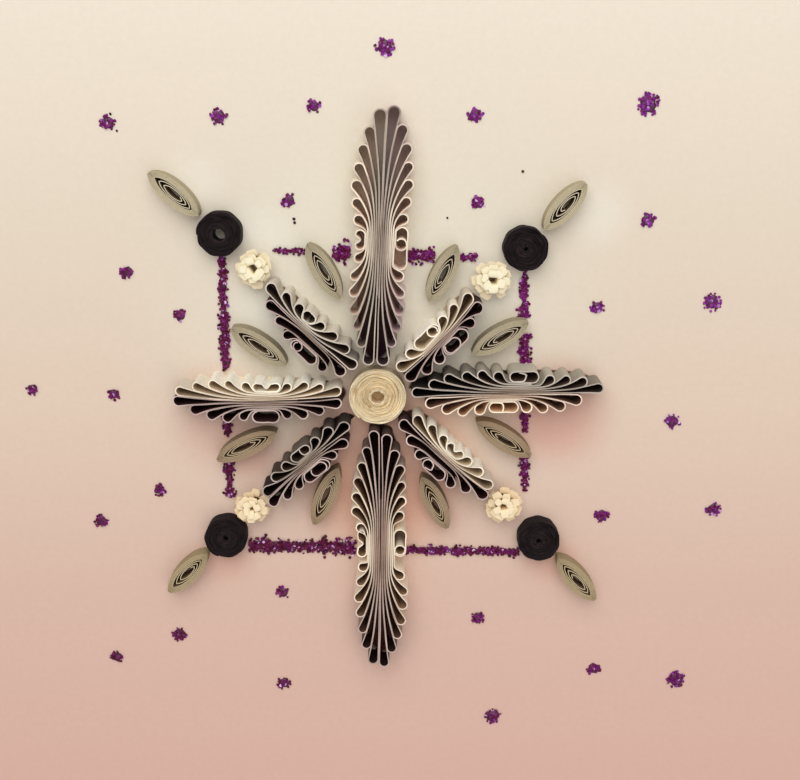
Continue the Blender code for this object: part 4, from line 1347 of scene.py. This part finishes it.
line_nodes = sorted(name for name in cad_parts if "glitter_line" in name)
for number, node in enumerate(line_nodes):
    start, end = line_ends(node)
    mound = glue_mound(node, start, end, number + 1)
    finish_piece(mound, f"{node}_glue", "purple_glitter", node)
    flakes = scatter(line_flakes(node, start, end, number + 1), number + 1)
    finish_piece(flakes, f"{node}_flakes", "purple_glitter")
print("glitter lines:", len(line_nodes))

# %% [markdown]
# ## Drops of glitter
# The glue also dried in drops all over the card. Each is a flat ball of glue, whose rim is made
# uneven by noise, with flakes that lie thick in its middle and ragged at its rim. A few single dark
# flakes strayed. All drops are joined, because they are one finish on one sheet.

# %% Drops and strays
# x, y and radius in mm
DROPS = (
    (1.4, 58, 1.7), (-44.3, 46, 1.4), (-26, 47, 1.5), (-10.3, 48.7, 1.2), (16.2, 47.2, 1.4),
    (44.6, 49, 2.0), (-14.8, 33.2, 1.4), (17, 33, 1.3), (45.6, 30, 1.4), (-42.7, 21.2, 1.3),
    (-34, 13.7, 1.2), (37.7, 15.1, 1.3), (57.4, 16, 1.7), (-60.4, 0.6, 1.2), (-46.2, -0.3, 1.2),
    (51.8, -5.3, 1.5), (-39.3, -18, 1.3), (-50, -24, 1.3), (40.2, -23, 1.4), (60.2, -21.8, 1.5),
    (-17.6, -38, 1.3), (18.3, -43, 1.4), (-37, -46.4, 1.5), (-49, -51, 1.3), (-18, -56.5, 1.4),
    (40, -53.4, 1.4), (55.6, -55.7, 1.9), (21.4, -63.4, 1.6),
)

# Single dark flakes that strayed, x and y in mm
STRAYS = ((-43.8, 47.4), (-42.9, 44.7), (-14.0, 30.2), (-13.9, 29.6), (24.3, 38.1), (11.8, 30.4),
          (6.6, 22.6), (7.4, 22.5))
print("drops:", len(DROPS), "strays:", len(STRAYS))


# %% Glitter drops
def drop_flakes(x, y, radius, rough):
    """Flakes of one drop, thick in its middle and ragged at its rim."""
    spots = []
    for _ in range(round(30 * (radius / (1.4 * MM)) ** 2)):
        reach = radius * 0.95 * rough.random() ** 0.6
        bearing = rough.uniform(0, 360)
        place = Vector((x, y)) + reach * direction(bearing)
        z = CARD_TOP + 0.07 * MM + 0.27 * MM * (1.0 - (reach / radius) ** 2) * rough.uniform(0.7, 1.2)
        flake_radius = rough.uniform(*FLAKE_RADII)
        spots.append((place.x, place.y, z, flake_radius, flake_tone_at(rough, place.x, place.y, 0.14)))
    return spots


def drop_mound(x, y, radius):
    bpy.ops.object.select_all(action="DESELECT")
    bpy.ops.mesh.primitive_uv_sphere_add(segments=14, ring_count=8, radius=1.0)
    mound = bpy.context.object
    bpy.ops.object.mode_set(mode="EDIT")
    bpy.ops.transform.resize(value=(0.72 * radius, 0.72 * radius, 0.28 * MM))
    bpy.ops.object.mode_set(mode="OBJECT")
    for vertex in mound.data.vertices:
        x_place, y_place = vertex.co.x / (0.8 * MM) + x / MM, vertex.co.y / (0.8 * MM)
        swell = 1.0 + 0.3 * noise.noise(Vector((x_place, y_place, y / MM)))
        vertex.co.x *= swell
        vertex.co.y *= swell
        vertex.co.z = max(vertex.co.z, -0.05 * MM)
    mound.data.transform(Matrix.Translation((x, y, CARD_TOP)))
    return mound


rough_drops = random.Random(77)
mounds, spots = [], []
for x, y, radius in DROPS:
    mounds.append(drop_mound(x * MM, y * MM, radius * MM))
    spots += drop_flakes(x * MM, y * MM, radius * MM, rough_drops)
for x, y in STRAYS:
    spots.append((x * MM, y * MM, CARD_TOP + 0.10 * MM, rough_drops.uniform(0.2, 0.3) * MM, 0.0))
drop_glue = join_all(mounds)
drop_glue.data.materials.append(glue_gel)
select_only(drop_glue)
bpy.ops.object.shade_smooth()
finish_piece(drop_glue, "glitter_drop_glue", "purple_glitter")
finish_piece(scatter(spots, 78), "glitter_drop_flakes", "purple_glitter")
bpy.data.objects.remove(flake)
print("flakes of the drops:", len(spots))
